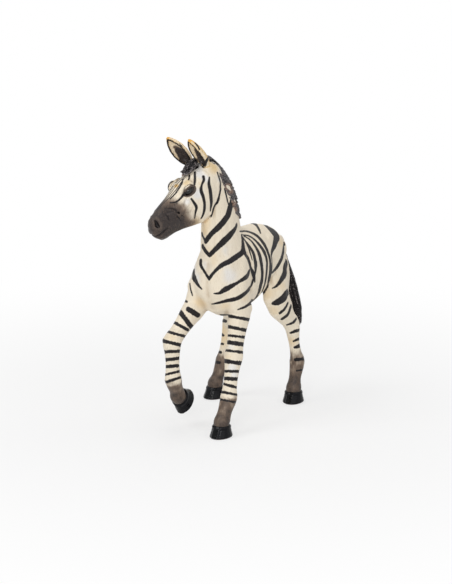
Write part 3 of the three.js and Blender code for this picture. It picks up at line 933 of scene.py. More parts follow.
def smooth_mesh(name: str, points: np.ndarray, faces: Sequence[Sequence[int]]) -> bpy.types.Mesh:
    """A smooth-shaded closed mesh with its faces outwards.

    Args:
        name: The mesh's name.
        points: Its points.
        faces: Its faces.

    Returns:
        The mesh, in the units of the points.
    """
    mesh = bpy.data.meshes.new(name)
    mesh.from_pydata(np.asarray(points).tolist(), [], [list(map(int, f)) for f in faces])
    form = bmesh.new()
    form.from_mesh(mesh)
    bmesh.ops.recalc_face_normals(form, faces=form.faces)
    if form.calc_volume(signed=True) < 0:
        bmesh.ops.reverse_faces(form, faces=form.faces)
    for face in form.faces:
        face.smooth = True
    form.to_mesh(mesh)
    form.free()
    return mesh


# The painted marks


@dataclass(frozen=True)
class Stripe:
    """A painted line, given by pixels of the photograph and its width there in pixels."""

    pixels: tuple[Pixel, ...]
    widths: tuple[float, ...]
    mirrored: bool = True

    @property
    def rows(self) -> np.ndarray:
        """The line's pixels and widths, drawn smoothly."""
        return smooth_line(np.column_stack([self.pixels, self.widths]), 4 * len(self.pixels))


@dataclass(frozen=True)
class Band:
    """A painted ring round a leg, given by its two ends in the photograph and its width in pixels.

    Attributes:
        start: The pixel of its left end.
        end: The pixel of its right end.
        width: Its width in pixels.
        whole: Whether it runs round the far side of the leg too.
    """

    start: Pixel
    end: Pixel
    width: float
    whole: bool = True


@dataclass(frozen=True)
class Spray:
    """A soft spot of airbrushed paint: its pixel, its radius in millimetres and its strength."""

    pixel: Pixel
    radius: float
    strength: float
    mirrored: bool = True


NECK_STRIPES = (
    Stripe(((224.8, 189.0), (226.5, 196.5), (228.2, 204.2)), (1.2, 1.2, 0.9)),
    Stripe(((233.0, 192.0), (231.8, 202.5), (229.6, 209.6), (226.9, 217.0), (219.6, 226.2), (211.6, 233.6),
            (205.3, 241.6)), (2.6, 4.0, 5.2, 5.2, 5.4, 4.6, 4.2)),
    Stripe(((236.8, 224.5), (235.2, 228.6), (231.2, 233.8), (224.6, 240.6), (216.2, 248.6), (209.3, 255.4)),
           (1.6, 2.8, 4.8, 6.0, 4.6, 4.0)),
    Stripe(((202.6, 246.4), (206.0, 251.8), (209.3, 255.4)), (3.4, 3.2, 3.0), mirrored=False),
    Stripe(((202.0, 233.5), (203.6, 238.0), (206.0, 241.8)), (1.4, 1.6, 2.6), mirrored=False),
)
SHOULDER_STRIPES = (
    Stripe(((243.0, 246.5), (242.4, 252.0), (236.6, 256.6), (229.8, 261.2), (221.6, 265.4), (214.6, 271.6),
            (209.0, 278.6)), (3.0, 4.6, 5.4, 5.0, 4.2, 2.8, 3.2)),
    Stripe(((200.6, 260.6), (200.9, 265.4), (204.9, 272.4), (209.0, 278.6)), (2.8, 2.6, 2.0, 2.6), mirrored=False),
    Stripe(((241.8, 235.7), (243.0, 242.4), (243.8, 250.2), (246.3, 255.2), (248.8, 261.6), (250.5, 268.0),
            (253.4, 274.6), (255.0, 282.0)), (1.2, 2.6, 3.6, 2.4, 2.0, 2.2, 3.8, 1.0)),
    Stripe(((249.4, 271.0), (246.6, 276.6), (238.0, 282.4), (231.4, 286.2), (224.8, 289.8), (219.2, 293.2),
            (213.8, 293.6)), (1.8, 3.8, 2.6, 4.2, 5.0, 2.4, 0.8)),
    Stripe(((253.2, 279.6), (249.9, 287.8), (243.8, 294.4), (236.4, 298.6), (226.6, 300.8), (218.2, 302.9),
            (211.8, 304.2)), (1.8, 2.2, 3.4, 3.8, 3.0, 2.0, 0.8)),
    Stripe(((257.2, 296.6), (250.7, 302.8), (244.7, 307.0), (238.0, 309.5)), (1.4, 2.2, 2.2, 1.0)),
)
FLANK_STRIPES = (
    Stripe(((241.8, 236.1), (246.3, 242.2), (250.5, 248.2), (253.4, 253.4), (255.2, 261.4), (255.8, 268.0),
            (255.2, 274.0)), (1.0, 1.4, 2.2, 2.6, 2.6, 2.2, 1.0)),
    Stripe(((243.0, 235.3), (250.2, 239.9), (254.6, 245.4), (258.1, 251.5), (260.6, 258.9), (261.9, 266.4),
            (262.3, 274.7), (260.9, 283.8), (258.9, 292.1), (255.9, 297.4)),
           (0.8, 1.2, 1.8, 2.6, 3.0, 2.8, 2.8, 2.6, 2.0, 1.0)),
    Stripe(((241.4, 234.5), (248.8, 235.9), (254.8, 239.9), (259.9, 245.6), (263.9, 251.4), (266.3, 258.1),
            (266.9, 266.4), (266.4, 274.7), (264.8, 283.8), (262.3, 291.3), (259.6, 296.6)),
           (0.8, 1.2, 1.6, 2.2, 2.8, 2.2, 1.8, 1.6, 1.4, 1.4, 1.0)),
    Stripe(((239.7, 231.5), (245.7, 231.2), (253.0, 233.4), (258.9, 237.6), (263.9, 244.0), (267.3, 250.7),
            (269.7, 258.9), (270.4, 268.0), (269.8, 275.5), (268.0, 283.8), (265.6, 288.8), (262.9, 292.9)),
           (1.2, 1.6, 2.0, 2.4, 2.6, 2.2, 2.2, 2.2, 2.2, 1.8, 1.4, 0.8)),
    Stripe(((245.6, 242.0), (248.6, 248.0), (250.4, 253.6), (252.2, 259.8)), (0.7, 0.9, 0.9, 0.6)),
    Stripe(((271.4, 255.0), (272.0, 262.0), (271.6, 270.0), (269.6, 281.0)), (0.6, 0.9, 0.9, 0.6)),
    Stripe(((266.4, 289.6), (263.6, 293.6), (260.8, 297.4)), (0.8, 0.9, 0.6)),
)
HAUNCH_STRIPES = (
    Stripe(((250.3, 223.4), (254.6, 223.9), (257.9, 227.4), (260.4, 233.2)), (1.2, 2.0, 2.2, 1.0)),
    Stripe(((265.4, 225.0), (268.6, 227.8), (272.4, 231.0), (276.0, 235.2), (275.6, 240.7), (274.3, 245.7),
            (272.2, 250.7), (271.2, 255.2)), (2.4, 3.6, 5.2, 5.8, 5.2, 4.2, 2.6, 1.2)),
    Stripe(((284.2, 243.6), (282.7, 254.4), (279.7, 262.3), (275.6, 268.9), (272.3, 272.4)),
           (1.8, 2.4, 2.8, 2.4, 1.6)),
    Stripe(((285.9, 262.8), (285.0, 272.4), (280.9, 280.3), (276.4, 286.1), (272.0, 288.5)),
           (2.6, 5.2, 4.0, 2.2, 0.9)),
    Stripe(((287.6, 292.0), (283.9, 297.7), (278.1, 301.9), (273.6, 303.2)), (4.4, 6.4, 6.2, 3.6)),
    Stripe(((287.8, 303.2), (284.9, 308.7), (280.3, 312.8)), (1.6, 2.2, 2.6)),
    Stripe(((290.9, 306.4), (287.9, 314.3), (282.6, 318.7)), (2.0, 2.4, 2.6)),
    Stripe(((296.4, 318.6), (292.8, 322.6), (287.0, 324.9)), (1.8, 2.4, 1.2)),
    Stripe(((298.6, 330.2), (295.0, 331.2), (290.6, 333.0)), (3.2, 3.0, 1.8)),
    Stripe(((299.8, 338.8), (297.0, 339.6), (293.6, 341.2)), (2.8, 2.6, 1.6)),
    Stripe(((301.4, 344.9), (298.4, 346.2), (294.9, 347.4)), (4.2, 4.0, 2.4)),
)
CHEST_STRIPES = (
    Stripe(((193.6, 271.4), (194.4, 277.4), (197.2, 283.6), (201.4, 288.9)), (2.6, 3.4, 2.8, 1.2), mirrored=False),
    Stripe(((189.8, 283.6), (190.9, 290.4), (192.5, 295.6)), (0.9, 1.2, 0.9), mirrored=False),
    Stripe(((183.9, 300.3), (186.9, 301.9)), (2.6, 2.0), mirrored=False),
)
FACE_STRIPES = (
    Stripe(((210.6, 156.2), (206.9, 161.0), (204.2, 165.4)), (4.0, 4.4, 4.2), mirrored=False),
    Stripe(((194.8, 172.0), (194.9, 179.6), (194.4, 184.9)), (1.8, 2.2, 1.6)),
    Stripe(((189.4, 175.0), (189.1, 178.2), (188.2, 180.2)), (1.4, 1.5, 0.8)),
    Stripe(((203.4, 176.6), (203.8, 180.0), (201.9, 184.7), (201.1, 190.5), (203.1, 196.3), (204.5, 203.0),
            (204.4, 209.6), (203.1, 214.6), (201.3, 218.4)), (2.4, 2.4, 1.7, 3.0, 2.8, 2.4, 2.2, 1.7, 0.9)),
    Stripe(((209.4, 177.5), (208.9, 183.9), (210.1, 189.7), (211.0, 196.3), (211.4, 203.0), (210.5, 210.6)),
           (1.1, 2.6, 3.0, 3.0, 2.4, 0.9)),
    Stripe(((217.3, 172.6), (220.1, 181.4), (220.2, 189.7), (218.1, 198.8), (214.8, 207.1), (210.7, 216.2),
            (208.3, 219.3)), (0.9, 1.2, 1.3, 1.4, 1.5, 1.2, 0.7)),
    Stripe(((191.3, 198.8), (195.2, 204.4), (196.5, 207.9), (195.4, 212.9), (194.7, 218.0)),
           (1.6, 2.6, 2.4, 1.4, 0.8)),
    Stripe(((184.6, 193.4), (181.2, 197.6), (178.2, 200.6), (174.6, 202.3), (170.4, 202.7)),
           (2.6, 1.9, 1.6, 1.3, 1.0)),
    Stripe(((182.9, 179.2), (180.9, 185.4), (176.1, 192.6), (170.3, 198.6)), (1.1, 1.3, 1.1, 1.0), mirrored=False),
)
LEG_BANDS: dict[Part, tuple[Band, ...]] = {
    Part.LEFT_FORE: (
        Band((230.1, 316.3), (249.5, 319.7), 3.0),
        Band((229.6, 326.9), (245.9, 330.4), 3.0),
        Band((229.6, 335.5), (243.9, 337.1), 2.5),
        Band((228.1, 342.3), (242.3, 344.3), 4.0),
        Band((225.0, 350.2), (242.9, 352.4), 2.6),
        Band((225.0, 361.0), (240.3, 363.2), 3.9),
        Band((226.5, 371.1), (237.8, 371.4), 2.6),
        Band((225.5, 378.3), (236.9, 378.9), 3.4),
        Band((224.0, 384.0), (236.3, 387.5), 2.2),
        Band((221.9, 392.0), (236.7, 394.7), 2.4),
        Band((220.4, 399.4), (236.2, 402.4), 1.8),
    ),
    Part.RIGHT_FORE: (
        Band((187.6, 308.8), (198.7, 315.7), 4.4, whole=False),
        Band((179.0, 310.9), (189.3, 324.3), 4.4),
        Band((174.3, 322.6), (185.9, 328.9), 3.0),
        Band((167.3, 331.4), (183.2, 336.0), 2.5),
        Band((162.2, 340.5), (180.7, 345.2), 3.4),
        Band((163.8, 352.0), (178.2, 351.2), 3.0),
        Band((164.3, 360.0), (177.2, 358.5), 3.0),
        Band((164.3, 366.9), (176.1, 365.9), 3.0),
        Band((164.3, 374.9), (177.7, 371.8), 2.3),
        Band((165.2, 382.5), (180.2, 377.4), 2.6),
    ),
    Part.LEFT_HIND: (
        Band((295.2, 359.8), (304.3, 358.6), 3.0, whole=False),
        Band((296.2, 370.8), (303.8, 369.6), 1.5, whole=False),
    ),
    Part.RIGHT_HIND: (
        Band((221.0, 319.8), (225.6, 321.4), 3.0, whole=False),
        Band((220.6, 333.2), (223.2, 335.6), 2.2, whole=False),
        Band((220.2, 343.5), (223.2, 344.2), 2.0, whole=False),
        Band((217.6, 351.7), (221.0, 352.3), 2.2, whole=False),
        Band((215.1, 361.8), (219.5, 362.5), 3.0, whole=False),
    ),
}
WARM_SPRAYS = (
    Spray((213.6, 166.0), 3.0, 1.0),
    Spray((186.5, 182.5), 1.6, 0.8),
    Spray((175.2, 185.6), 0.7, 1.5),
    Spray((200.5, 183.2), 1.2, 0.6),
    Spray((194.5, 222.5), 2.4, 1.0),
    Spray((207.0, 219.5), 1.8, 0.6),
    Spray((281.0, 242.0), 3.2, 0.6),
    Spray((268.0, 292.0), 3.2, 0.5),
    Spray((281.5, 285.0), 3.0, 0.5),
    Spray((273.5, 311.0), 2.6, 0.6),
    Spray((291.5, 341.0), 2.6, 0.7),
    Spray((213.0, 306.0), 2.8, 0.25, mirrored=False),
    Spray((196.0, 300.0), 2.6, 0.3, mirrored=False),
    Spray((212.0, 250.0), 2.0, 0.4),
    Spray((213.0, 262.0), 2.2, 0.5, mirrored=False),
    Spray((206.0, 232.0), 2.4, 0.5),
    Spray((246.0, 299.0), 2.4, 0.5),
    Spray((225.0, 305.0), 2.2, 0.5),
    Spray((227.0, 356.5), 2.6, 0.5, mirrored=False),
    Spray((170.0, 336.5), 2.6, 0.5, mirrored=False),
    Spray((222.5, 327.0), 3.0, 0.8, mirrored=False),
    Spray((222.0, 340.0), 3.0, 0.6, mirrored=False),
)
PALE_SPRAYS = (
    Spray((197.0, 168.0), 1.8, 0.9),
    Spray((199.0, 174.0), 1.8, 0.8),
    Spray((206.5, 178.5), 1.6, 0.8),
    Spray((198.0, 194.0), 1.8, 0.9),
    Spray((187.0, 201.5), 1.2, 0.8),
    Spray((218.5, 238.0), 2.4, 0.8),
    Spray((222.5, 233.0), 2.2, 0.7),
    Spray((219.5, 178.5), 1.6, 0.6),
    Spray((231.0, 276.0), 3.2, 0.7),
    Spray((205.5, 265.0), 1.6, 0.6, mirrored=False),
    Spray((197.6, 279.0), 1.6, 0.5, mirrored=False),
    Spray((235.0, 375.5), 1.6, 0.8, mirrored=False),
    Spray((231.0, 347.5), 1.6, 0.7, mirrored=False),
    Spray((231.5, 367.0), 1.6, 0.7, mirrored=False),
    Spray((226.0, 250.0), 2.2, 0.4),
    Spray((262.0, 262.0), 3.0, 0.4),
)


STOCKING_EDGES = {
    Part.LEFT_FORE: (1.82, 2.1),
    Part.RIGHT_FORE: (1.82, 2.15),
    Part.LEFT_HIND: (1.35, 1.9),
    Part.RIGHT_HIND: (1.45, 1.95),
}
STOCKING_RAGGED = ((1.4, 7, 0.08), (3.0, 8, 0.12))
NECK_LEAN = -1.8
NECK_FOOT, NECK_TOP = 62.0, 84.0


@dataclass(frozen=True)
class Ring:
    """A painted ring in space.

    Attributes:
        leg: The leg that it runs round.
        band: Its trace in the photograph.
        middle: Its middle, on the leg's line.
        normal: The direction across it.
        half: Half its width.
    """

    leg: Leg
    band: Band
    middle: np.ndarray
    normal: np.ndarray
    half: float

    @property
    def is_upper(self) -> bool:
        """Whether it lies so high that the torso carries some of it."""
        seam, down = self.leg.seam
        return (self.middle - seam) @ down < RING_ON_TORSO

    def ink(self, points: np.ndarray, camera: PhotoCamera) -> np.ndarray:
        """How far inside the ring's edge each point lies.

        Args:
            points: The points.
            camera: The camera that its pixels belong to.

        Returns:
            Millimetres inside the edge, negative outside.
        """
        place, _ = self.leg.nearest(points)
        facing = (points - place) @ camera.axes[:, 2]
        start, end = np.array(self.band.start), np.array(self.band.end)
        span = end - start
        pixels = camera.project(points)
        t = (pixels - start) @ span / (span @ span)
        past = WHOLE_RING_OVERSHOOT if self.band.whole else PART_RING_OVERSHOOT
        gap = np.linalg.norm(pixels - start - np.clip(t, -past, 1 + past)[:, None] * span, axis=1) * camera.pixel_size
        front = self.half * (1 + 0.2 * lattice_noise(points, 2.6, 23)) - gap
        if self.band.whole:
            behind = self.half * 0.75 - np.abs((points - self.middle) @ self.normal)
        else:
            behind = front - 0.5 - 0.6 * np.abs(facing)
        return np.where(facing > 0, front, behind) + ragged(points, RING_RAGGED)


SHAG = {Part.HEAD: -0.3, Part.NECK: 0.1, Part.TORSO: 0.1}
SEEN_WITHIN = 0.5
HEAD_SEEN_WITHIN = 2.2
LEAST_SLANT = 0.36
STRIPE_GAIN = 0.06
RING_REACH = 6.5
RING_RAGGED = ((1.3, 21, 0.08), (0.6, 22, 0.04))
RING_ON_TORSO = 3.0
WHOLE_RING_OVERSHOOT, PART_RING_OVERSHOOT = 0.15, -0.06
FAR_FROM_INK = -3.0


@dataclass
class Painter:
    """Lays the stripes on the skin, through the photograph's camera.

    Attributes:
        camera: The camera that the pixels belong to.
        surface: The body's skin, which the pixels are cast on.
        face: The head's own skin.
        lines: Each stripe's points and their half widths.
        rings: The rings round the legs.
        spots: Each soft spot's place, radius and strength.
    """

    camera: PhotoCamera
    surface: BVHTree
    face: BVHTree
    lines: list[tuple[np.ndarray, np.ndarray]] = field(default_factory=list)
    rings: list[Ring] = field(default_factory=list)
    spots: list[tuple[np.ndarray, float, float]] = field(default_factory=list)

    def hit(self, pixel: Pixel, head: bool = False) -> Optional[tuple[np.ndarray, np.ndarray]]:
        """What lies under a pixel.

        Args:
            pixel: The pixel.
            head: Whether to look at the head's own skin.

        Returns:
            The place and the outward direction there, or None beside the skin.
        """
        skin = self.face if head else self.surface
        place, outward, _, _ = skin.ray_cast(Vector(self.camera.eye), Vector(self.camera.ray(pixel)))
        return None if place is None else (np.array(place), np.array(outward))

    def cast(self, pixel: Pixel, head: bool = False) -> Optional[np.ndarray]:
        """The place on the body or on the head under a pixel, or None beside them."""
        found = self.hit(pixel, head)
        return found[0] if found else None

    def is_seen(self, place: np.ndarray, head: bool) -> bool:
        """Whether the camera sees a place on the body or on the head."""
        found = self.cast(tuple(self.camera.project(place[None])[0]), head)
        return found is not None and np.linalg.norm(found - place) < (HEAD_SEEN_WITHIN if head else SEEN_WITHIN)

    def across(self, place: np.ndarray, head: bool) -> np.ndarray:
        """The matching place on the other side.

        Args:
            place: A place on the skin.
            head: Whether it is on the head, whose middle plane is its own.

        Returns:
            The place on the same skin.
        """
        if head:
            local = POSE.head_axes.T @ (place - POSE.head_at)
            other = POSE.head_axes @ (local * (-1, 1, 1)) + POSE.head_at
            return np.array(self.face.find_nearest(Vector(other))[0])
        lean = NECK_LEAN * blend_step(NECK_FOOT, NECK_TOP, np.array(place[2]))
        return np.array(self.surface.find_nearest(Vector((lean - place[0], place[1], place[2])))[0])

    def true_halves(self, line: np.ndarray, outwards: np.ndarray, widths: np.ndarray) -> np.ndarray:
        """A stripe's half widths on the skin, which is seen at a slant.

        Args:
            line: The stripe's points.
            outwards: The skin's directions there.
            widths: The widths in the photograph, in pixels.

        Returns:
            The half widths in millimetres.
        """
        back = self.camera.axes[:, 2]
        tangents = np.gradient(line, axis=0)
        tangents /= np.linalg.norm(tangents, axis=1, keepdims=True)
        breadth = np.cross(outwards, tangents)
        breadth /= np.maximum(np.linalg.norm(breadth, axis=1, keepdims=True), 1e-6)
        seen = np.cross(back, tangents)
        seen /= np.maximum(np.linalg.norm(seen, axis=1, keepdims=True), 1e-6)
        share = np.abs(np.einsum("ij,ij->i", breadth, seen))
        share = np.convolve(np.pad(share, 2, mode="edge"), np.full(5, 0.2), mode="valid")
        return (widths * self.camera.pixel_size / 2 + STRIPE_GAIN) / np.maximum(share, LEAST_SLANT)

    def stripe(self, stripe: Stripe, head: bool = False) -> None:
        """Lay one stripe on the skin, and its match on the other side where the camera can't see it.

        Args:
            stripe: The stripe.
            head: Whether it is on the head.
        """
        kept = [(self.hit((x, y), head), w) for x, y, w in stripe.rows]
        kept = [(*found, w) for found, w in kept if found]
        if len(kept) < 2:
            LOG.warning("a stripe at %s misses the skin", stripe.pixels[0])
            return
        line, outwards, widths = (np.array(column) for column in zip(*kept))
        halves = self.true_halves(line, outwards, widths)
        self.lines.append((line, halves))
        if stripe.mirrored:
            other = np.array([self.across(place, head) for place in line])
            seen = np.array([self.is_seen(place, head) for place in other])
            self.lines.append((other, np.where(seen, -1.0, halves)))

    def band(self, leg: Leg, band: Band) -> None:
        """Lay one ring on a leg.

        Args:
            leg: The leg.
            band: The ring.
        """
        front = self.cast(tuple((np.array(band.start) + np.array(band.end)) / 2))
        if front is None:
            LOG.warning("a band at %s misses the skin", band.start)
            return
        place, axis = leg.nearest(front[None])
        depth = (self.camera.eye - place[0]) @ self.camera.axes[:, 2]
        ends = []
        for pixel in (band.start, band.end):
            ray = self.camera.ray(pixel)
            ends.append(self.camera.eye + ray * depth / -(ray @ self.camera.axes[:, 2]))
        along = unit(ends[1] - ends[0])
        normal = unit(axis[0] - along * (axis[0] @ along))
        half = band.width * self.camera.pixel_size / 2 + STRIPE_GAIN
        self.rings.append(Ring(leg, band, (ends[0] + ends[1]) / 2, normal, half))

    def spray(self, spray: Spray, sign: float, head: bool) -> None:
        """Spray one soft spot, and its match on the other side.

        Args:
            spray: The spot.
            sign: 1 for warm paint, -1 for pale paint.
            head: Whether it is on the head.
        """
        place = self.cast(spray.pixel, head)
        if place is None:
            LOG.warning("a spray at %s misses the skin", spray.pixel)
            return
        self.spots.append((place, spray.radius, sign * spray.strength))
        if spray.mirrored:
            self.spots.append((self.across(place, head), spray.radius, sign * spray.strength))

    def ink(self, points: np.ndarray, part: Part) -> np.ndarray:
        """How far inside the stripes each point lies.

        Args:
            points: The piece's points.
            part: The piece.

        Returns:
            Millimetres inside the nearest stripe's edge, negative outside.
        """
        value = np.full(len(points), FAR_FROM_INK)
        for line, halves in self.lines:
            margin = halves.max() + 1.0
            near = np.all((points > line.min(0) - margin) & (points < line.max(0) + margin), axis=1)
            if not near.any():
                continue
            local = points[near]
            best = np.full(len(local), FAR_FROM_INK)
            for a, b, wa, wb in zip(line[:-1], line[1:], halves[:-1], halves[1:]):
                gap, t = segment_distance(local, a, b)
                best = np.maximum(best, wa + (wb - wa) * t - gap)
            value[near] = np.maximum(value[near], best)
        for ring in self.rings:
            if ring.leg.part != part and not (part == Part.TORSO and ring.is_upper):
                continue
            near = np.linalg.norm(points - ring.middle, axis=1) < RING_REACH
            local = points[near]
            value[near] = np.maximum(value[near], ring.ink(local, self.camera))
        return value

    def paint_all(self) -> None:
        """Lay all the stripes, rings and soft spots."""
        for stripe in (*NECK_STRIPES, *SHOULDER_STRIPES, *FLANK_STRIPES, *HAUNCH_STRIPES, *CHEST_STRIPES):
            self.stripe(stripe)
        for stripe in FACE_STRIPES:
            self.stripe(stripe, head=True)
        for leg in LEGS:
            for band in LEG_BANDS[leg.part]:
                self.band(leg, band)
        for sign, sprays in ((1, WARM_SPRAYS), (-1, PALE_SPRAYS)):
            for spray in sprays:
                self.spray(spray, sign, self.cast(spray.pixel, head=True) is not None)

    def values(self, points: np.ndarray, part: Part) -> dict[str, np.ndarray]:
        """The paint's values at a piece's points.

        Args:
            points: The piece's points.
            part: The piece.

        Returns:
            The values by the names that the coat's finish reads.
        """
        return {
            "stripe": self.ink(points, part),
            "warm": self.tint(points),
            "dark": self.stockings(points, part),
            "shag": np.full(len(points), SHAG.get(part, 0.3)),
        }

    def stockings(self, points: np.ndarray, part: Part) -> np.ndarray:
        """How dark the pasterns are painted.

        Args:
            points: The piece's points.
            part: The piece.

        Returns:
            One value for each point, 0 above the fetlock and up to 1 at the hoof.
        """
        found = [leg for leg in LEGS if leg.part == part]
        if not found:
            return np.zeros(len(points))
        _, span, along = nearest_on(found[0].line, points)
        share = span + along + ragged(points, STOCKING_RAGGED)
        start, end = STOCKING_EDGES[part]
        mottled = 0.6 + 0.16 * lattice_noise(points, 1.2, 9) + 0.2 * blend_step(end, 3.0, share)
        return blend_step(start, end, share) * mottled

    def mark(self, stripe: Stripe, skin: BVHTree, points: np.ndarray) -> np.ndarray:
        """How far inside one stripe, laid on another skin, each point lies.

        Args:
            stripe: The stripe.
            skin: The skin that its pixels are cast on.
            points: The points.

        Returns:
            Millimetres inside its edge, negative outside.
        """
        value = np.full(len(points), FAR_FROM_INK)
        last = None
        for x, y, w in stripe.rows:
            hit = skin.ray_cast(Vector(self.camera.eye), Vector(self.camera.ray((x, y))))[0]
            if hit is not None and last is not None:
                gap, _ = segment_distance(points, last, np.array(hit))
                value = np.maximum(value, w * self.camera.pixel_size / 2 - gap)
            last = None if hit is None else np.array(hit)
        return value

    def tint(self, points: np.ndarray) -> np.ndarray:
        """The airbrushed tint.

        Args:
            points: The piece's points.

        Returns:
            One value for each point, above zero where it is warm and below zero where it is pale.
        """
        value = np.zeros(len(points))
        for place, radius, strength in self.spots:
            gap = np.linalg.norm(points - place, axis=1)
            value += strength * np.exp(-((gap / radius) ** 2))
        return value


# Finishes


class Graph:
    """Builds the nodes of a material or of a modifier."""

    def __init__(self, tree: bpy.types.NodeTree) -> None:
        """Start from an empty tree."""
        self.tree = tree
        tree.nodes.clear()

    def node(self, kind: str, inputs: Optional[dict[str | int, object]] = None, **settings: object) -> bpy.types.Node:
        """Add a node.

        Args:
            kind: Its kind.
            inputs: What its sockets get, by their names or numbers.
            **settings: Its settings.

        Returns:
            The node.
        """
        node = self.tree.nodes.new(kind)
        for key, value in settings.items():
            setattr(node, key, value)
        for key, value in (inputs or {}).items():
            self.feed(node.inputs[key], value)
        return node

    def feed(self, socket: bpy.types.NodeSocket, value: object) -> None:
        """Give a socket its value.

        Args:
            socket: The socket.
            value: What it is set to, or the other socket that it is linked to.
        """
        if isinstance(value, bpy.types.NodeSocket):
            self.tree.links.new(value, socket)
        else:
            socket.default_value = value

    def math(self, operation: str, a: object, b: object = 0.0, c: object = 0.0) -> bpy.types.NodeSocket:
        """A sum, product or other operation on numbers."""
        return self.node("ShaderNodeMath", dict(enumerate((a, b, c))), operation=operation).outputs[0]

    def step(self, value: object, low: float, high: float) -> bpy.types.NodeSocket:
        """A smooth rise from 0 at low to 1 at high."""
        inputs = {"Value": value, "From Min": low, "From Max": high}
        return self.node("ShaderNodeMapRange", inputs, interpolation_type="SMOOTHSTEP").outputs[0]

    def mix(self, share: object, a: object, b: object) -> bpy.types.NodeSocket:
        """A mix of two colours."""
        return self.node("ShaderNodeMix", {0: share, 6: a, 7: b}, data_type="RGBA").outputs[2]

    def vector(self, operation: str, a: object, b: object = None) -> bpy.types.NodeSocket:
        """An operation on vectors. SCALE takes a vector and a number, LENGTH only a vector.

        Args:
            operation: The operation.
            a: The first vector.
            b: The second vector, or the number that scales the first.

        Returns:
            The resulting vector or length.
        """
        node = self.node("ShaderNodeVectorMath", {0: a}, operation=operation)
        if b is not None:
            self.feed(node.inputs["Scale" if operation == "SCALE" else 1], b)
        return node.outputs["Value" if operation == "LENGTH" else 0]

    def value_of(self, name: str) -> bpy.types.NodeSocket:
        """A piece's own attribute."""
        return self.node("ShaderNodeAttribute", attribute_name=name).outputs["Fac"]

    def noise(self, size: float, detail: float = 3.0, squash: Place = (1, 1, 1)) -> bpy.types.NodeSocket:
        """Smooth noise between 0 and 1.

        Args:
            size: About how large its spots are, in millimetres.
            detail: How many finer layers it has.
            squash: How much it is stretched or squashed along each axis.

        Returns:
            The noise.
        """
        place = self.node("ShaderNodeTexCoord").outputs["Object"]
        place = self.node("ShaderNodeMapping", {"Vector": place, "Scale": squash}).outputs[0]
        inputs = {"Vector": place, "Scale": 1 / (size * MM), "Detail": detail}
        return self.node("ShaderNodeTexNoise", inputs).outputs["Fac"]


def colour(red: int, green: int, blue: int) -> tuple[float, float, float, float]:
    """A linear colour from the 8-bit sRGB values of the paint.

    Args:
        red: The red value.
        green: The green value.
        blue: The blue value.

    Returns:
        Red, green, blue and an alpha of 1.
    """
    line = [v / 255 for v in (red, green, blue)]
    red, green, blue = (v / 12.92 if v <= 0.04045 else ((v + 0.055) / 1.055) ** 2.4 for v in line)
    return red, green, blue, 1.0


@dataclass(frozen=True)
class Finish:
    """A finish: a material whose surface the finishes below describe.

    Attributes:
        name: The material's name.
        gloss: How strongly it mirrors, as the shader's specular level.
    """

    name: str
    gloss: float

    def surface(self, g: Graph) -> dict[str, object]:
        """The values of the shader's inputs.

        Args:
            g: The material's nodes.

        Returns:
            Values or sockets by the inputs' names.
        """
        raise NotImplementedError

    def build(self) -> bpy.types.Material:
        """Make the finish.

        Returns:
            Its material.
        """
        material = bpy.data.materials.new(self.name)
        material.use_nodes = True
        g = Graph(material.node_tree)
        inputs = {**self.surface(g), "Specular IOR Level": self.gloss}
        shader = g.node("ShaderNodeBsdfPrincipled", inputs)
        g.node("ShaderNodeOutputMaterial", {"Surface": shader.outputs[0]})
        return material


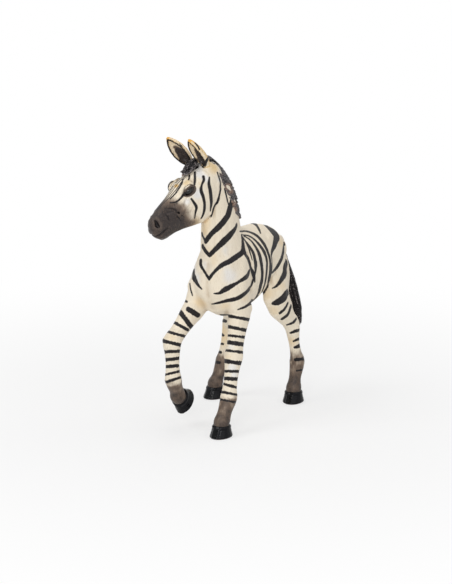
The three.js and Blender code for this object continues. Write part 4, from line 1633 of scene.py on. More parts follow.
@dataclass(frozen=True)
class CoatPaint(Finish):
    """Cream plastic with airbrushed ochre and white, hand-painted stripes and a dark brown mask, with painted shade in
    its hollows and painted highlights on the muzzle.
    """

    name: str = "coat_paint"
    cream: tuple[float, ...] = colour(241, 229, 208)
    warm: tuple[float, ...] = colour(233, 205, 157)
    ochre: tuple[float, ...] = colour(233, 178, 88)
    pale: tuple[float, ...] = colour(238, 235, 231)
    # The brownish colour of the hollows, partly a wash and partly painted shade, and of the hair grain.
    hollow_shade_and_grain: tuple[float, ...] = colour(190, 166, 134)
    ink: tuple[float, ...] = colour(26, 23, 25)
    ink_worn: tuple[float, ...] = colour(52, 45, 44)
    mask: tuple[float, ...] = colour(58, 51, 49)
    # The lighter brown at the mask's edge, also used for painted highlights on the muzzle.
    mask_tan_and_highlight: tuple[float, ...] = colour(132, 113, 97)
    feather: float = 0.11
    gloss: float = 0.22
    bump_height: float = 0.13
    bump_strength: float = 0.7

    def surface(self, g: Graph) -> dict[str, object]:
        """The values of the shader's inputs.

        Args:
            g: The material's nodes.

        Returns:
            Values or sockets by the inputs' names.
        """
        broad, fine = g.noise(4.0), g.noise(0.5, 4)
        hairs = g.noise(0.36, 4, (1, 1, 0.24))
        tint = g.value_of("warm")
        warm = g.math("ADD", tint, g.math("MULTIPLY_ADD", broad, 0.7, -0.35))
        paint = g.mix(g.step(warm, 0.12, 1.1), self.cream, self.warm)
        paint = g.mix(g.step(tint, 1.0, 2.0), paint, self.ochre)
        paint = g.mix(g.step(g.math("MULTIPLY", warm, -1), 0.05, 0.8), paint, self.pale)
        hollow = g.math("MULTIPLY_ADD", g.value_of("cavity"), -1, g.math("MULTIPLY_ADD", hairs, 0.1, -0.05))
        # Painted shade: the hollows are darkened towards the brownish colour, partly the figure's wash and partly
        # shade painted in.
        paint = g.mix(g.math("MULTIPLY", g.step(hollow, 0.02, 0.4), 0.75), paint, self.hollow_shade_and_grain)
        paint = g.mix(g.math("MULTIPLY", g.step(hairs, 0.52, 0.8), 0.28), paint, self.hollow_shade_and_grain)
        dark = g.math("ADD", g.value_of("dark"), g.math("MULTIPLY_ADD", hairs, 0.3, -0.15))
        mask = g.mix(g.step(dark, 0.35, 0.95), self.mask_tan_and_highlight, self.mask)
        # Painted shade: the muzzle's hollows, its nostrils and mouth line, are darkened to black.
        mask = g.mix(g.step(hollow, 0.04, 0.2), mask, self.ink)
        # Partly painted highlight: the muzzle's raised wrinkles are lightened, partly a dry brush and partly
        # highlight.
        mask = g.mix(g.math("MULTIPLY", g.step(hollow, -0.06, -0.3), 0.22), mask, self.mask_tan_and_highlight)
        # Painted highlight: fine lighter mottles stand in for the shine on the muzzle's wrinkles.
        mask = g.mix(g.math("MULTIPLY", g.step(fine, 0.52, 0.75), 0.3), mask, self.mask_tan_and_highlight)
        paint = g.mix(g.step(dark, 0.08, 0.62), paint, mask)
        shag = g.math("MULTIPLY_ADD", g.value_of("shag"), 0.75, 0.3)
        fray = g.math("MULTIPLY", g.math("SUBTRACT", hairs, 0.5), shag)
        edge = g.math("ADD", g.value_of("stripe"), fray)
        ink = g.mix(g.step(g.noise(0.9, 4), 0.5, 0.85), self.ink, self.ink_worn)
        paint = g.mix(g.step(edge, -self.feather, self.feather), paint, ink)
        sheen = g.math("MULTIPLY", g.value_of("dark"), 0.14)
        rough = g.math("SUBTRACT", g.math("MULTIPLY_ADD", fine, 0.2, 0.42), sheen)
        relief = {
            "Distance": self.bump_height * MM, "Strength": self.bump_strength, "Height": g.math("ADD", hairs, fine)
        }
        return {"Base Color": paint, "Roughness": rough, "Normal": g.node("ShaderNodeBump", relief).outputs[0]}


@dataclass(frozen=True)
class HairPaint(Finish):
    """Black paint on carved strands, with painted shade in the grooves and brown and grey dry-brushed on the raised
    ones, the grey partly painted glints.
    """

    name: str = "hair_paint"
    black: tuple[float, ...] = colour(22, 20, 22)
    # The near black of the grooves: painted shade.
    deep: tuple[float, ...] = colour(5, 5, 6)
    brown: tuple[float, ...] = colour(112, 88, 76)
    sand: tuple[float, ...] = colour(186, 156, 136)
    # Dry-brushed on the raised strands, partly standing in for glints: painted highlight.
    grey_brush_and_glint: tuple[float, ...] = colour(160, 152, 152)
    gloss: float = 0.1

    def surface(self, g: Graph) -> dict[str, object]:
        """The values of the shader's inputs.

        Args:
            g: The material's nodes.

        Returns:
            Values or sockets by the inputs' names.
        """
        ridge = g.value_of("cavity")
        fine = g.noise(0.3, 4)
        warm = g.step(g.value_of("warm"), 0.25, 0.85)
        paint = g.mix(g.math("MULTIPLY", warm, 0.85), self.black, self.brown)
        # Painted shade: the grooves between the strands are darkened to near black.
        paint = g.mix(g.step(ridge, -0.16, -0.02), self.deep, paint)
        flecked = g.math("ADD", ridge, g.math("MULTIPLY_ADD", fine, 0.9, -0.45))
        # Partly painted highlight: the raised strands get a dry brush of sand on the brown patches and grey elsewhere,
        # the grey standing in for glints.
        dry = g.math("MULTIPLY", g.step(flecked, 0.1, 0.2), g.math("MULTIPLY_ADD", warm, 0.3, 0.6))
        paint = g.mix(dry, paint, g.mix(warm, self.grey_brush_and_glint, self.sand))
        return {"Base Color": paint, "Roughness": g.math("MULTIPLY_ADD", fine, 0.25, 0.34)}


@dataclass(frozen=True)
class HoofLacquer(Finish):
    """Glossy black paint over the hooves, lighter on the raised rims, partly wear and partly painted highlight, with
    painted shade on the toe facet and a reddish painted light along the bottom edge.
    """

    name: str = "hoof_lacquer"
    black: tuple[float, ...] = colour(13, 13, 17)
    # The lighter raised rims: partly wear and partly painted highlight.
    wear_and_highlight: tuple[float, ...] = colour(38, 37, 41)
    # The toe facet's near black: painted shade.
    toe: tuple[float, ...] = colour(1, 1, 2)
    # A reddish-brown line along the bottom edge: painted light.
    sole: tuple[float, ...] = colour(126, 82, 62)
    gloss: float = 0.14

    def surface(self, g: Graph) -> dict[str, object]:
        """The values of the shader's inputs.

        Args:
            g: The material's nodes.

        Returns:
            Values or sockets by the inputs' names.
        """
        fine = g.noise(0.6, 4)
        rim = g.step(g.math("ADD", g.value_of("cavity"), g.math("MULTIPLY_ADD", fine, 0.1, -0.05)), 0.08, 0.3)
        # Partly painted highlight: the raised rims are lightened, partly wear and partly highlight.
        paint = g.mix(rim, self.black, self.wear_and_highlight)
        # Painted shade: the toe facet is painted nearly pure black, darker than the rest of the lacquer.
        paint = g.mix(g.step(g.value_of("toe"), 0.4, 0.6), paint, self.toe)
        # Painted light: a thin reddish-brown line along the hoof's bottom edge stands in for the warm light seen under
        # the hoof.
        paint = g.mix(g.step(g.value_of("sole"), 0.4, 0.6), paint, self.sole)
        return {"Base Color": paint, "Roughness": g.math("MULTIPLY_ADD", fine, 0.14, 0.1)}


@dataclass(frozen=True)
class EyeLacquer(Finish):
    """Glossy black paint on the eyes."""

    name: str = "eye_lacquer"
    black: tuple[float, ...] = colour(5, 5, 7)
    brown: tuple[float, ...] = colour(20, 14, 12)
    gloss: float = 0.45
    roughness: float = 0.1

    def surface(self, g: Graph) -> dict[str, object]:
        """The values of the shader's inputs.

        Args:
            g: The material's nodes.

        Returns:
            Values or sockets by the inputs' names.
        """
        return {"Base Color": g.mix(g.noise(0.5, 2), self.black, self.brown), "Roughness": self.roughness}


# The foal's pieces


@dataclass(frozen=True)
class Stroke:
    """One stroke of the modelling tool. It raises the skin, or presses it in where the height is below zero.

    Attributes:
        line: The places that it passes, near the skin.
        radius: Its half width, or one for each place.
        height: How far the skin moves in its middle.
        mirrored: Whether the other side of the animal gets the same stroke.
    """

    line: tuple[Place, ...]
    radius: float | tuple[float, ...]
    height: float
    mirrored: bool = True

    def lay(self, clay: Clay, onto: Callable[[Place], np.ndarray], across: int) -> None:
        """Lay the stroke on clay.

        Args:
            clay: The block that is modelled.
            onto: Turns a place of the stroke into one in the trunk's frame.
            across: Which number of a place tells how far it lies to one side.
        """
        clay.press([onto(place) for place in self.line], self.radius, self.height)
        if self.mirrored:
            other = [tuple(-v if k == across else v for k, v in enumerate(place)) for place in self.line]
            clay.press([onto(place) for place in other], self.radius, self.height)


BODY_STROKES = (
    Stroke(((8.9, 13.5, 56), (9.2, 14.2, 50), (9.2, 14.2, 44), (8.6, 13.5, 38)), 1.8, -0.4),
    Stroke(((5.5, 13.5, 60), (8.3, 9.5, 52), (8.6, 7.5, 46)), 2.2, 0.3),
    Stroke(((7.3, 1.8, 46),), 3.0, 0.4),
    Stroke(((8.6, 12.2, 38.5),), 1.8, 0.45),
    Stroke(((0, -1.3, 54), (0, -1.9, 48), (0, -1.0, 42), (0, 1.5, 38)), 1.7, -0.4, mirrored=False),
    Stroke(((3.0, -1.0, 45),), 3.2, 0.5),
    Stroke(((2.0, -1.0, 52), (5.2, 0.6, 48.5), (7.6, 4.4, 42)), 1.1, -0.22),
    Stroke(((0, -0.4, 60), (-0.2, -0.1, 67), (-0.3, 0.2, 73)), 1.6, 0.22, mirrored=False),
    Stroke(((2.6, 0.6, 60), (2.6, 0.7, 67), (2.3, 1.0, 73)), 1.3, -0.32),
    Stroke(((5.0, 4.2, 58), (4.6, 5.4, 66), (4.0, 6.2, 74)), 1.5, -0.16),
    Stroke(((7.9, 30.0, 50),), 4.2, -0.55),
    Stroke(((9.5, 33.0, 40),), 3.0, 0.35),
    Stroke(((7.6, 28.6, 44.5), (8.3, 29.0, 41.5), (7.4, 29.6, 38.0)), 1.4, -0.3),
    Stroke(((6.9, 39.5, 54), (8.4, 38.5, 47), (8.6, 39.5, 41)), 1.4, -0.32),
    Stroke(((6.2, 30.0, 57.5),), 2.0, 0.4),
    Stroke(((4.6, 41.2, 55.5),), 1.6, 0.3),
    Stroke(((0, 14.0, 63.2), (0, 30.0, 61.3), (0, 40.0, 57)), 1.4, -0.18, mirrored=False),
    Stroke(((0, 41.2, 50.5), (0, 41.4, 46.0), (0, 40.0, 42.0)), 1.2, -0.4, mirrored=False),
    *(Stroke(((8.6, 17 + 2.2 * k, 52), (8.9, 18 + 2.3 * k, 44)), 0.8, -0.1) for k in range(5)),
)


LEG_STROKES = (
    Stroke(((1.0, 2.3, 0.2),), 1.5, 0.26),
    Stroke(((1.14, 2.3, 0), (1.18, 2.3, 0.4)), 1.1, -0.14),
    Stroke(((1.25, 1.5, -1.0), (1.6, 1.5, -1.0), (1.85, 1.5, -1.0)), 0.85, -0.3),
    Stroke(((2.0, 1.84, 0),), 1.3, 0.16),
    Stroke(((2.3, 1.84, -1.0), (2.7, 1.84, -1.2)), 0.9, -0.18),
    Stroke(((2.08, 0, -2.4),), 1.1, 0.42, mirrored=False),
    Stroke(((2.45, 0, -2.2),), 1.2, -0.3, mirrored=False),
)
FORE_STROKES = (
    Stroke(((0.9, 0, 2.6), (1.05, 0, 2.6)), 1.7, 0.3, mirrored=False),
    Stroke(((1.0, 0, -2.6),), 1.2, 0.25, mirrored=False),
    Stroke(((0.3, 2.2, 0.8), (0.55, 2.2, 0.4), (0.8, 2.0, 0.2)), 1.2, -0.24, mirrored=False),
)
HIND_STROKES = (
    Stroke(((0.93, 0, -3.2),), 1.5, 0.5, mirrored=False),
    Stroke(((0.55, 1.6, -2.0), (0.75, 1.6, -1.9)), 1.1, -0.38),
    Stroke(((1.05, 0, 2.6),), 1.6, 0.22, mirrored=False),
)


@dataclass
class MouldedBody:
    """The torso, neck and legs, which are cut from one skin.

    Attributes:
        step: The clay's grid step.
        brush: The width of the brush that smooths the merged solids.
        low: The block's lowest corner.
        high: The block's highest corner.
        nodes: The nodes that are merged.
        broad: The same for the body's broad shape, which its relief stands out of.
        neck_base: The middle of the seam under the neck.
        neck_tilt: How far that seam tips back, in degrees.
        neck_reach: How far from its middle that seam parts the skin.
        leg_reach: The same of the seams at the elbows and stifles.
        hoof_reach: The same of the coronets.
        hoof_lift: How far above the coronets the skin ends.
        coronet_rise: How far above and below each coronet its roll of skin reaches.
        coronet_radii: The roll's radii at its upper and lower end.
        coronet_blend: How softly the roll runs into the leg.
    """

    step: float = 0.25
    brush: float = 0.45
    low: Place = (-22.0, -14.0, 2.0)
    high: Place = (14.0, 50.0, 95.0)
    nodes: tuple[str, ...] = (
        "torso", "neck", "head", "left_fore_leg", "right_fore_leg", "left_hind_leg", "right_hind_leg"
    )
    broad: float = 0.9
    neck_base: Place = (0.0, 8.51, 64.4)
    neck_tilt: float = 10.0
    neck_reach: float = 14.0
    leg_reach: float = 10.9
    hoof_reach: float = 6.0
    hoof_lift: float = 0.02
    coronet_rise: tuple[float, float] = (0.9, 0.6)
    coronet_radii: tuple[float, float] = (2.3, 2.65)
    coronet_blend: float = 0.5

    def sculpt(self) -> Clay:
        """Merge the solids, smooth them and model the muscles and bones.

        Returns:
            The modelled clay.
        """
        clay = Clay.from_solids(self.nodes, self.step, self.low, self.high, SEAM_CLOSING)
        clay.smooth(self.brush)
        for stroke in BODY_STROKES:
            stroke.lay(clay, np.array, 0)
        for leg in LEGS:
            self.model_leg(clay, leg)
        return clay

    def model_leg(self, clay: Clay, leg: Leg) -> None:
        """Model the bones, tendons and coronet of a leg.

        Args:
            clay: The body's clay.
            leg: The leg.
        """

        def onto(place: Place) -> np.ndarray:
            """A place beside the leg's line."""
            return leg.beside(*place)

        for stroke in LEG_STROKES:
            stroke.lay(clay, onto, 1)
        middle, up = vec(*leg.coronet), leg.hoof_axes[:, 2]
        above, below = self.coronet_rise
        clay.add([middle + up * above, middle - up * below], self.coronet_radii, self.coronet_blend)
        for stroke in FORE_STROKES if leg.is_fore else HIND_STROKES:
            stroke.lay(clay, onto, 1)

    def cuts(self) -> list[Cut]:
        """The seams between the pieces, and the coronets where the hooves begin."""
        tilt = math.radians(self.neck_tilt)
        cuts = [Cut(vec(*self.neck_base), vec(0, -math.sin(tilt), math.cos(tilt)), self.neck_reach), HEAD_CUT]
        for leg in LEGS:
            up = leg.hoof_axes[:, 2]
            cuts.append(Cut(*leg.seam, self.leg_reach))
            cuts.append(Cut(vec(*leg.coronet) + up * self.hoof_lift, -up, self.hoof_reach))
        return cuts

    def seeds(self) -> dict[Part, np.ndarray]:
        """A place in each piece."""
        seeds = {Part.TORSO: vec(9.0, 25.0, 50.0), Part.NECK: vec(3.0, 7.6, 71.0)}
        for leg in LEGS:
            seeds[leg.part] = leg.frame_at(1.5)[0]
        return seeds

    def build(self, clay: Clay, painter: Painter, material: bpy.types.Material) -> None:
        """Cut the skin into its pieces and paint them.

        Args:
            clay: The modelled clay.
            painter: The painter.
            material: The coat's finish.
        """
        form = divided(*clay.skin(), self.cuts())
        broad = clay.copy()
        broad.smooth(self.broad)
        for part, seed in self.seeds().items():
            node = part.value if part in (Part.TORSO, Part.NECK) else part.value + "_leg"
            mesh = island(form, node + "_skin", seed)
            spots = mesh_points(mesh)
            values = {**painter.values(spots, part), "cavity": broad.sample(spots)}
            finished(mesh, node + "_skin", [node], material, values)
        form.free()


HEAD_STROKES = (
    Stroke(((14.9, -0.6, 4.5), (16.2, -1.2, 4.1), (17.0, -1.5, 3.8)), 0.5, -0.22),
    Stroke(((10.6, 2.3, 4.0), (12.6, 2.7, 4.0), (14.8, 2.1, 3.5)), 1.3, 1.05),
    Stroke(((11.6, 1.8, -4.7), (13.8, 1.7, -4.6)), 1.2, 0.7, mirrored=False),
    Stroke(((9.2, 1.6, 3.6),), 1.9, -0.5),
    Stroke(((15.5, -2.2, 4.2), (18.5, -2.8, 3.4), (20.8, -3.2, 3.0)), 0.9, 0.36),
    Stroke(((17.0, -5.0, 3.8), (20.5, -5.2, 3.0)), 1.7, -0.38),
    Stroke(((10.5, -6.5, 4.6),), 4.6, 0.38),
    Stroke(((15.6, -5.0, 4.2), (16.6, -8.0, 3.6), (15.8, -11.0, 3.0)), 1.0, -0.3),
    Stroke(((4.2, -6.6, 3.8), (7.0, -10.4, 3.8), (12.0, -12.6, 3.4)), 1.0, 0.24),
    Stroke(((16.0, 1.9, 1.9), (20.0, 2.2, 1.6), (23.5, 2.2, 1.5)), 1.0, 0.24),
    Stroke(((17.0, 0.2, 3.3), (20.0, 0.4, 2.8), (23.0, 0.4, 2.6)), 1.1, -0.34),
    Stroke(((25.6, 2.3, 2.4), (25.5, 1.0, 2.8), (26.0, -0.4, 2.9), (26.9, -1.2, 2.8)), 0.75, 0.3),
    Stroke(((27.6, 2.0, 1.6), (28.3, 0.8, 2.0), (28.2, -0.5, 2.4), (27.4, -1.3, 2.7)), 0.6, 0.14),
    Stroke(((28.9, -1.4, 1.4),), 1.4, 0.26),
    Stroke(((25.0, -3.0, 2.8), (24.6, -3.6, 2.8), (24.9, -4.2, 2.7)), 0.5, 0.22),
    Stroke(((27.3, -5.9, 0.0), (28.0, -5.4, 0.0)), 1.7, 0.3, mirrored=False),
    Stroke(((25.0, -6.8, 0.0),), 1.4, -0.22, mirrored=False),
    Stroke(((28.5, -3.7, 1.2),), 1.0, 0.22),
    Stroke(((25.4, 0.6, 2.9), (24.6, -0.9, 3.0), (24.2, -2.6, 3.0)), 0.35, -0.16),
    Stroke(((24.5, 0.8, 2.8), (23.7, -0.8, 3.0), (23.3, -2.4, 3.0)), 0.35, -0.15),
    Stroke(((23.4, 0.4, 2.9), (22.7, -1.0, 3.0), (22.3, -2.2, 3.0)), 0.35, -0.13),
    Stroke(((13.0, -13.4, 0.0), (17.0, -12.0, 0.0), (21.0, -9.8, 0.0), (24.0, -8.0, 0.0)), 1.6, -0.55, mirrored=False),
    Stroke(((0.8, -1.2, 3.6), (2.4, 0.4, 3.8), (4.6, 0.2, 3.6), (5.2, -1.6, 3.9)), 0.9, 0.3),
)


LIDS = (
    (((15.2, 0.2, 4.2), (14.4, 1.2, 4.45), (13.2, 1.6, 4.6), (11.9, 1.2, 4.6), (10.8, -0.1, 4.5)),
     (0.2, 0.42, 0.52, 0.44, 0.2)),
    (((15.2, 0.2, 4.2), (14.3, -0.65, 4.6), (13.0, -1.0, 4.85), (11.7, -0.95, 4.85), (10.8, -0.1, 4.5)),
     (0.2, 0.32, 0.34, 0.3, 0.2)),
)


@dataclass(frozen=True)
class Groove:
    """A cut into the face: its line on the skin, its radius and how deep its middle lies."""

    line: tuple[Place, ...]
    radius: tuple[float, ...]
    depth: float


WRINKLES = (
    ((21.7, 2.4), (20.3, 0.4), (19.3, -2.8)),
    ((21.9, 0.6), (20.1, -1.5), (19.4, -4.8)),
    ((22.2, -1.3), (20.9, -2.8), (20.8, -5.3)),
    ((22.9, 2.2), (22.8, 0.2), (23.5, -1.8)),
)
GROOVES = (
    Groove(((26.5, 2.1, 2.3), (26.8, 1.2, 2.6), (27.3, 0.3, 2.6), (27.2, -0.4, 2.7)), (0.32, 0.5, 0.66, 0.42), 0.36),
    Groove(((29.5, -2.2, 0.0), (29.2, -2.3, 1.2), (28.2, -2.5, 2.0), (26.9, -2.6, 2.6), (25.4, -2.9, 2.8)),
           (0.28, 0.32, 0.36, 0.32, 0.16), 0.2),
    *(Groove(tuple((along, out, 3.2) for along, out in line), (0.2, 0.34, 0.16), -0.06) for line in WRINKLES),
)


@dataclass
class Head:
    """The head, modelled finer than the body.

    Attributes:
        step: The clay's grid step.
        brush: The width of the brush that smooths the merged solids.
        below: How far the block reaches under the head, so that it meets the neck.
        above: How far it reaches over the head.
        lid_blend: How softly the lids run into the face.
        lid_insets: How much closer to the middle the lids lie than their lines say, for each side.
        groove_blend: How far the grooves' edges are rounded.
        ear_root: The radius of the swelling under each ear.
        ear_blend: How softly that swelling runs into the head.
        broad: The width of the brush that gives the head's broad shape, which its relief stands out of.
        cheek: A place on the head: along the face, out of it and across.
    """

    step: float = 0.14
    brush: float = 0.26
    below: float = 4.0
    above: float = 1.5
    lid_blend: float = 0.3
    lid_insets: dict[Side, float] = field(default_factory=lambda: {Side.LEFT: 0.0, Side.RIGHT: 0.4})
    groove_blend: float = 0.16
    ear_root: float = 1.7
    ear_blend: float = 0.8
    broad: float = 0.6
    cheek: Place = (15.0, -3.0, 4.0)

    def sculpt(self) -> Clay:
        """Merge the head with the neck under it and model the face.

        Returns:
            The modelled clay.
        """
        low, high = (vec(*corner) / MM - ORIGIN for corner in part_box("head"))
        low, high = tuple(low - self.below), tuple(high + self.above)
        clay = Clay.from_solids(["head", "neck"], self.step, low, high, SEAM_CLOSING)
        clay.smooth(self.brush)
        for stroke in HEAD_STROKES:
            stroke.lay(clay, lambda place: POSE.on_head(*place), 2)
        for side in Side:
            inset = self.lid_insets[side]
            for line, roll in LIDS:
                clay.add([POSE.on_head(a, o, (c - inset) * side.value) for a, o, c in line], roll, self.lid_blend)
            for groove in GROOVES:
                line = clay.settle(np.array([POSE.on_head(a, o, c * side.value) for a, o, c in groove.line]))
                clay.carve(line - clay.slope(line) * groove.depth, groove.radius, self.groove_blend)
        for ear in EARS:
            along, out, across = ear.root
            line = [POSE.on_head(along - 0.2, out + rise, across) for rise in (0.2, -2.5)]
            clay.add(line, self.ear_root, self.ear_blend)
        return clay

    def fan(self, clay: Clay) -> list[tuple[np.ndarray, np.ndarray]]:
        """The fine painted lines that fan out over the forehead and close again on the nose.

        Args:
            clay: The head's clay.

        Returns:
            Each line's points and half widths.
        """
        lines = []
        for k in FAN_PLACES:
            rows = [(along, out, k * gap) for along, out, gap in FAN_LINES]
            fine = smooth_line(np.array(rows), FAN_POINTS)
            points = clay.settle(np.array([POSE.on_head(*row) for row in fine]))
            halves = np.interp(np.linspace(0, 1, FAN_POINTS), (0, 0.2, 0.8, 1), FAN_HALVES)
            lines.append((points, halves))
        return lines

    def mask(self, points: np.ndarray) -> np.ndarray:
        """How dark the muzzle and the rims of the eyes are painted, from 0 to 1.

        Args:
            points: Places on the head.

        Returns:
            One value for each place.
        """
        local = (points - POSE.head_at) @ POSE.head_axes
        along, out, across = -local[:, 1], local[:, 2], np.abs(local[:, 0])
        edge = along - 0.5 * np.maximum(0, 2.5 - across) + ragged(points, MUZZLE_RAGGED)
        muzzle = blend_step(*MUZZLE_EDGE, edge)
        lids = np.hypot((along - EYE_AT[0]) / EYE_RIM[0], (out - EYE_AT[1] - 0.2 * (along - EYE_AT[0])) / EYE_RIM[1])
        turned_away = (local[:, 0] < 0) * blend_step(-0.6, 0.2, out)
        rim = (1 - blend_step(0.98, 1.22, lids)) * blend_step(3.4, 3.9, across) * (1 - turned_away)
        return np.maximum(muzzle, rim * (0.85 + 0.15 * (1 - blend_step(0.55, 0.9, lids))))

    def build(self, clay: Clay, painter: Painter, material: bpy.types.Material) -> None:
        """Cut the head off its neck and paint it.

        Args:
            clay: The modelled clay.
            painter: The painter.
            material: The coat's finish.
        """
        form = divided(*clay.skin(), [HEAD_CUT])
        mesh = island(form, "head_skin", POSE.on_head(*self.cheek))
        form.free()
        spots = mesh_points(mesh)
        values = painter.values(spots, Part.HEAD)
        values.update(cavity=cavity(spots, clay, self.broad), dark=self.mask(spots))
        finished(mesh, "head_skin", ["head"], material, values)


FAN_PLACES = (-4, -3, -2, -1, 0, 1)
FAN_LINES = ((9.0, 2.4, 0.55), (11.5, 2.6, 0.95), (14.0, 2.6, 1.22), (18.0, 2.6, 0.9), (23.0, 2.6, 0.34))
FAN_HALVES = (0.12, 0.2, 0.2, 0.12)
FAN_POINTS = 30
MUZZLE_EDGE = (13.6, 22.6)
MUZZLE_RAGGED = ((1.2, 5, 0.5), (3.5, 6, 0.8))
EYE_AT = (12.95, 0.3)
EYE_RIM = (2.25, 1.5)


def head_cut() -> Cut:
    """The seam between the head and the neck, which runs down behind the cheek to the throat.

    Returns:
        The seam.
    """
    along = unit(POSE.head_axes @ vec(0, -1, HEAD_SEAM_SLOPE))
    normal = unit(POSE.head_axes @ vec(0, HEAD_SEAM_SLOPE, 1))
    return Cut(POSE.on_head(*HEAD_SEAM_MIDDLE), normal, HEAD_SEAM_REACH, along, HEAD_SEAM_BEND)


HEAD_SEAM_MIDDLE = (7.0, -9.7, 0)
HEAD_SEAM_SLOPE = -0.715
HEAD_SEAM_REACH = 11.0
HEAD_SEAM_BEND = 0.015
HEAD_CUT = head_cut()


def node_clay(node: str, step: float, brush: float, margin: float = 1.5) -> Clay:
    """A block of clay from one node alone.

    Args:
        node: The node.
        step: The grid step.
        brush: The width of the smoothing brush.
        margin: How far the block reaches past the node.

    Returns:
        The smoothed block.
    """
    low, high = (vec(*corner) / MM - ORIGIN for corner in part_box(node))
    clay = Clay.from_solids([node], step, tuple(low - margin), tuple(high + margin), 0.0)
    if brush:
        clay.smooth(brush)
    return clay


def cavity(points: np.ndarray, clay: Clay, width: float) -> np.ndarray:
    """How far each point stands out of the form's broad shape.

    Args:
        points: The form's points.
        clay: Its clay.
        width: How much of its relief the broad shape has lost.

    Returns:
        Millimetres, negative in a hollow.
    """
    broad = clay.copy()
    broad.smooth(width)
    return broad.sample(points)


@dataclass(frozen=True)
class Ear:
    """A cupped ear with a painted rim, dark inside and ochre at its tip.

    Attributes:
        node: The node that it stands for.
        root: Its root on the head: along the face, out of it and across.
        tip: How far it is tipped back, in degrees.
        lean: How far it leans to one side, in degrees.
        turned: How far it is turned about its own length, in degrees.
        opening: The levels between which it is open.
        rim_half: Half the width of the painted rim.
        rim_press: The radius and height of the raised rim.
        ridge_press: The radius and height of the ridges inside.
        ridges: Where the ridges lie across the ear.
        ridge_levels: The levels that they pass.
        step: The clay's grid step.
        brush: The width of the brush that smooths it.
        broad: The same for its broad shape, which its relief stands out of.
        marks: The painted marks on its back.
    """

    node: str
    root: Place
    tip: float
    lean: float
    turned: float
    opening: tuple[float, float] = (2.4, 12.3)
    rim_half: float = 0.3
    rim_press: tuple[float, float] = (0.5, 0.12)
    ridge_press: tuple[float, float] = (0.4, 0.16)
    ridges: tuple[float, ...] = (-0.9, 0.0, 0.9)
    ridge_levels: tuple[float, ...] = (3.5, 6.0, 8.5)
    step: float = 0.12
    brush: float = 0.14
    broad: float = 0.4
    marks: tuple[Stripe, ...] = ()

    @property
    def axes(self) -> np.ndarray:
        """The ear's rotation: it stands up Z and opens towards -Y."""
        return POSE.head_axes @ turn("X", self.tip) @ turn("Y", self.lean) @ turn("Z", self.turned)

    def local(self, points: np.ndarray) -> np.ndarray:
        """Rows of places in the ear's own frame."""
        return (points - POSE.on_head(*self.root)) @ self.axes

    def rim(self, points: np.ndarray) -> np.ndarray:
        """The edge of the opening, from one root over the tip to the other, in the ear's frame.

        Args:
            points: The ear's points, in its own frame.

        Returns:
            Rows of places.
        """
        low, high = self.opening
        sides = []
        for side in (1, -1):
            rows = []
            for level in np.linspace(low, high, 14):
                near = points[(np.abs(points[:, 2] - level) < 0.2) & (points[:, 0] * side > 0.05)]
                if len(near):
                    rows.append(near[near[:, 1].argmin()])
            sides.append(rows)
        return smooth_line(np.array(sides[0] + sides[1][::-1]), 90)

    def build(self, painter: Painter, material: bpy.types.Material) -> None:
        """Model and paint the ear.

        Args:
            painter: The painter, for the marks on its back.
            material: The coat's finish.
        """
        clay = node_clay(self.node, self.step, self.brush)
        rim = self.rim(self.local(clay.skin()[0]))
        edge = POSE.on_head(*self.root) + rim @ self.axes.T
        clay.press(edge[::4], *self.rim_press)
        for across in self.ridges:
            rows = np.array([(across, 0.9, z) for z in self.ridge_levels])
            clay.press(POSE.on_head(*self.root) + rows @ self.axes.T, *self.ridge_press)
        mesh, spots = clay.mesh(self.node + "_cup")
        local, normals = self.local(spots), clay.slope(spots) @ self.axes
        line = self.rim_half - nearest_on(rim, local)[0]
        skin = clay.tree()
        for mark in self.marks:
            line = np.maximum(line, painter.mark(mark, skin, spots))
        x, y, z = local.T
        level = np.interp(z, np.sort(rim[:, 2])[::6], rim[np.argsort(rim[:, 2]), 1][::6])
        inside = (normals[:, 1] < 0.1) & (y > level + 0.12) & (z > self.opening[0] - 0.6) & (z < self.opening[1])
        away = np.hypot((x - 0.1) / 1.6, (z - 5.2) / 3.6) + ragged(spots, EAR_RAGGED)
        patch = 1 - blend_step(0.75, 1.2, away)
        values = {
            "stripe": line,
            "dark": np.where(inside, patch, 0),
            "warm": np.where(inside, 0.6, 1.1 * blend_step(9.4, 12.8, z) + 1.15),
            # Inside the cup the hollows get the coat's full painted shade, on its back less.
            "cavity": cavity(spots, clay, self.broad) * np.where(inside, 1.0, 0.4),
        }
        finished(mesh, self.node + "_cup", [self.node], material, values)


EAR_RAGGED = ((1.1, 11, 0.16),)
EARS = (
    Ear("left_ear", (2.9, -1.4, 2.2), -4, 6.5, 6, marks=(
        Stripe(((194.8, 142.4), (196.6, 144.4), (198.2, 146.6), (199.4, 149.4)), (1.4, 2.4, 2.0, 1.6)),
        Stripe(((209.4, 155.8), (206.6, 161.0), (204.0, 165.0)), (4.4, 4.6, 4.6)),
    )),
    Ear("right_ear", (4.2, -0.9, -4.1), -3.5, -9.3, 35, marks=(
        Stripe(((179.0, 143.4), (181.2, 145.4), (183.2, 147.4)), (0.7, 1.1, 0.7)),
    )),
)


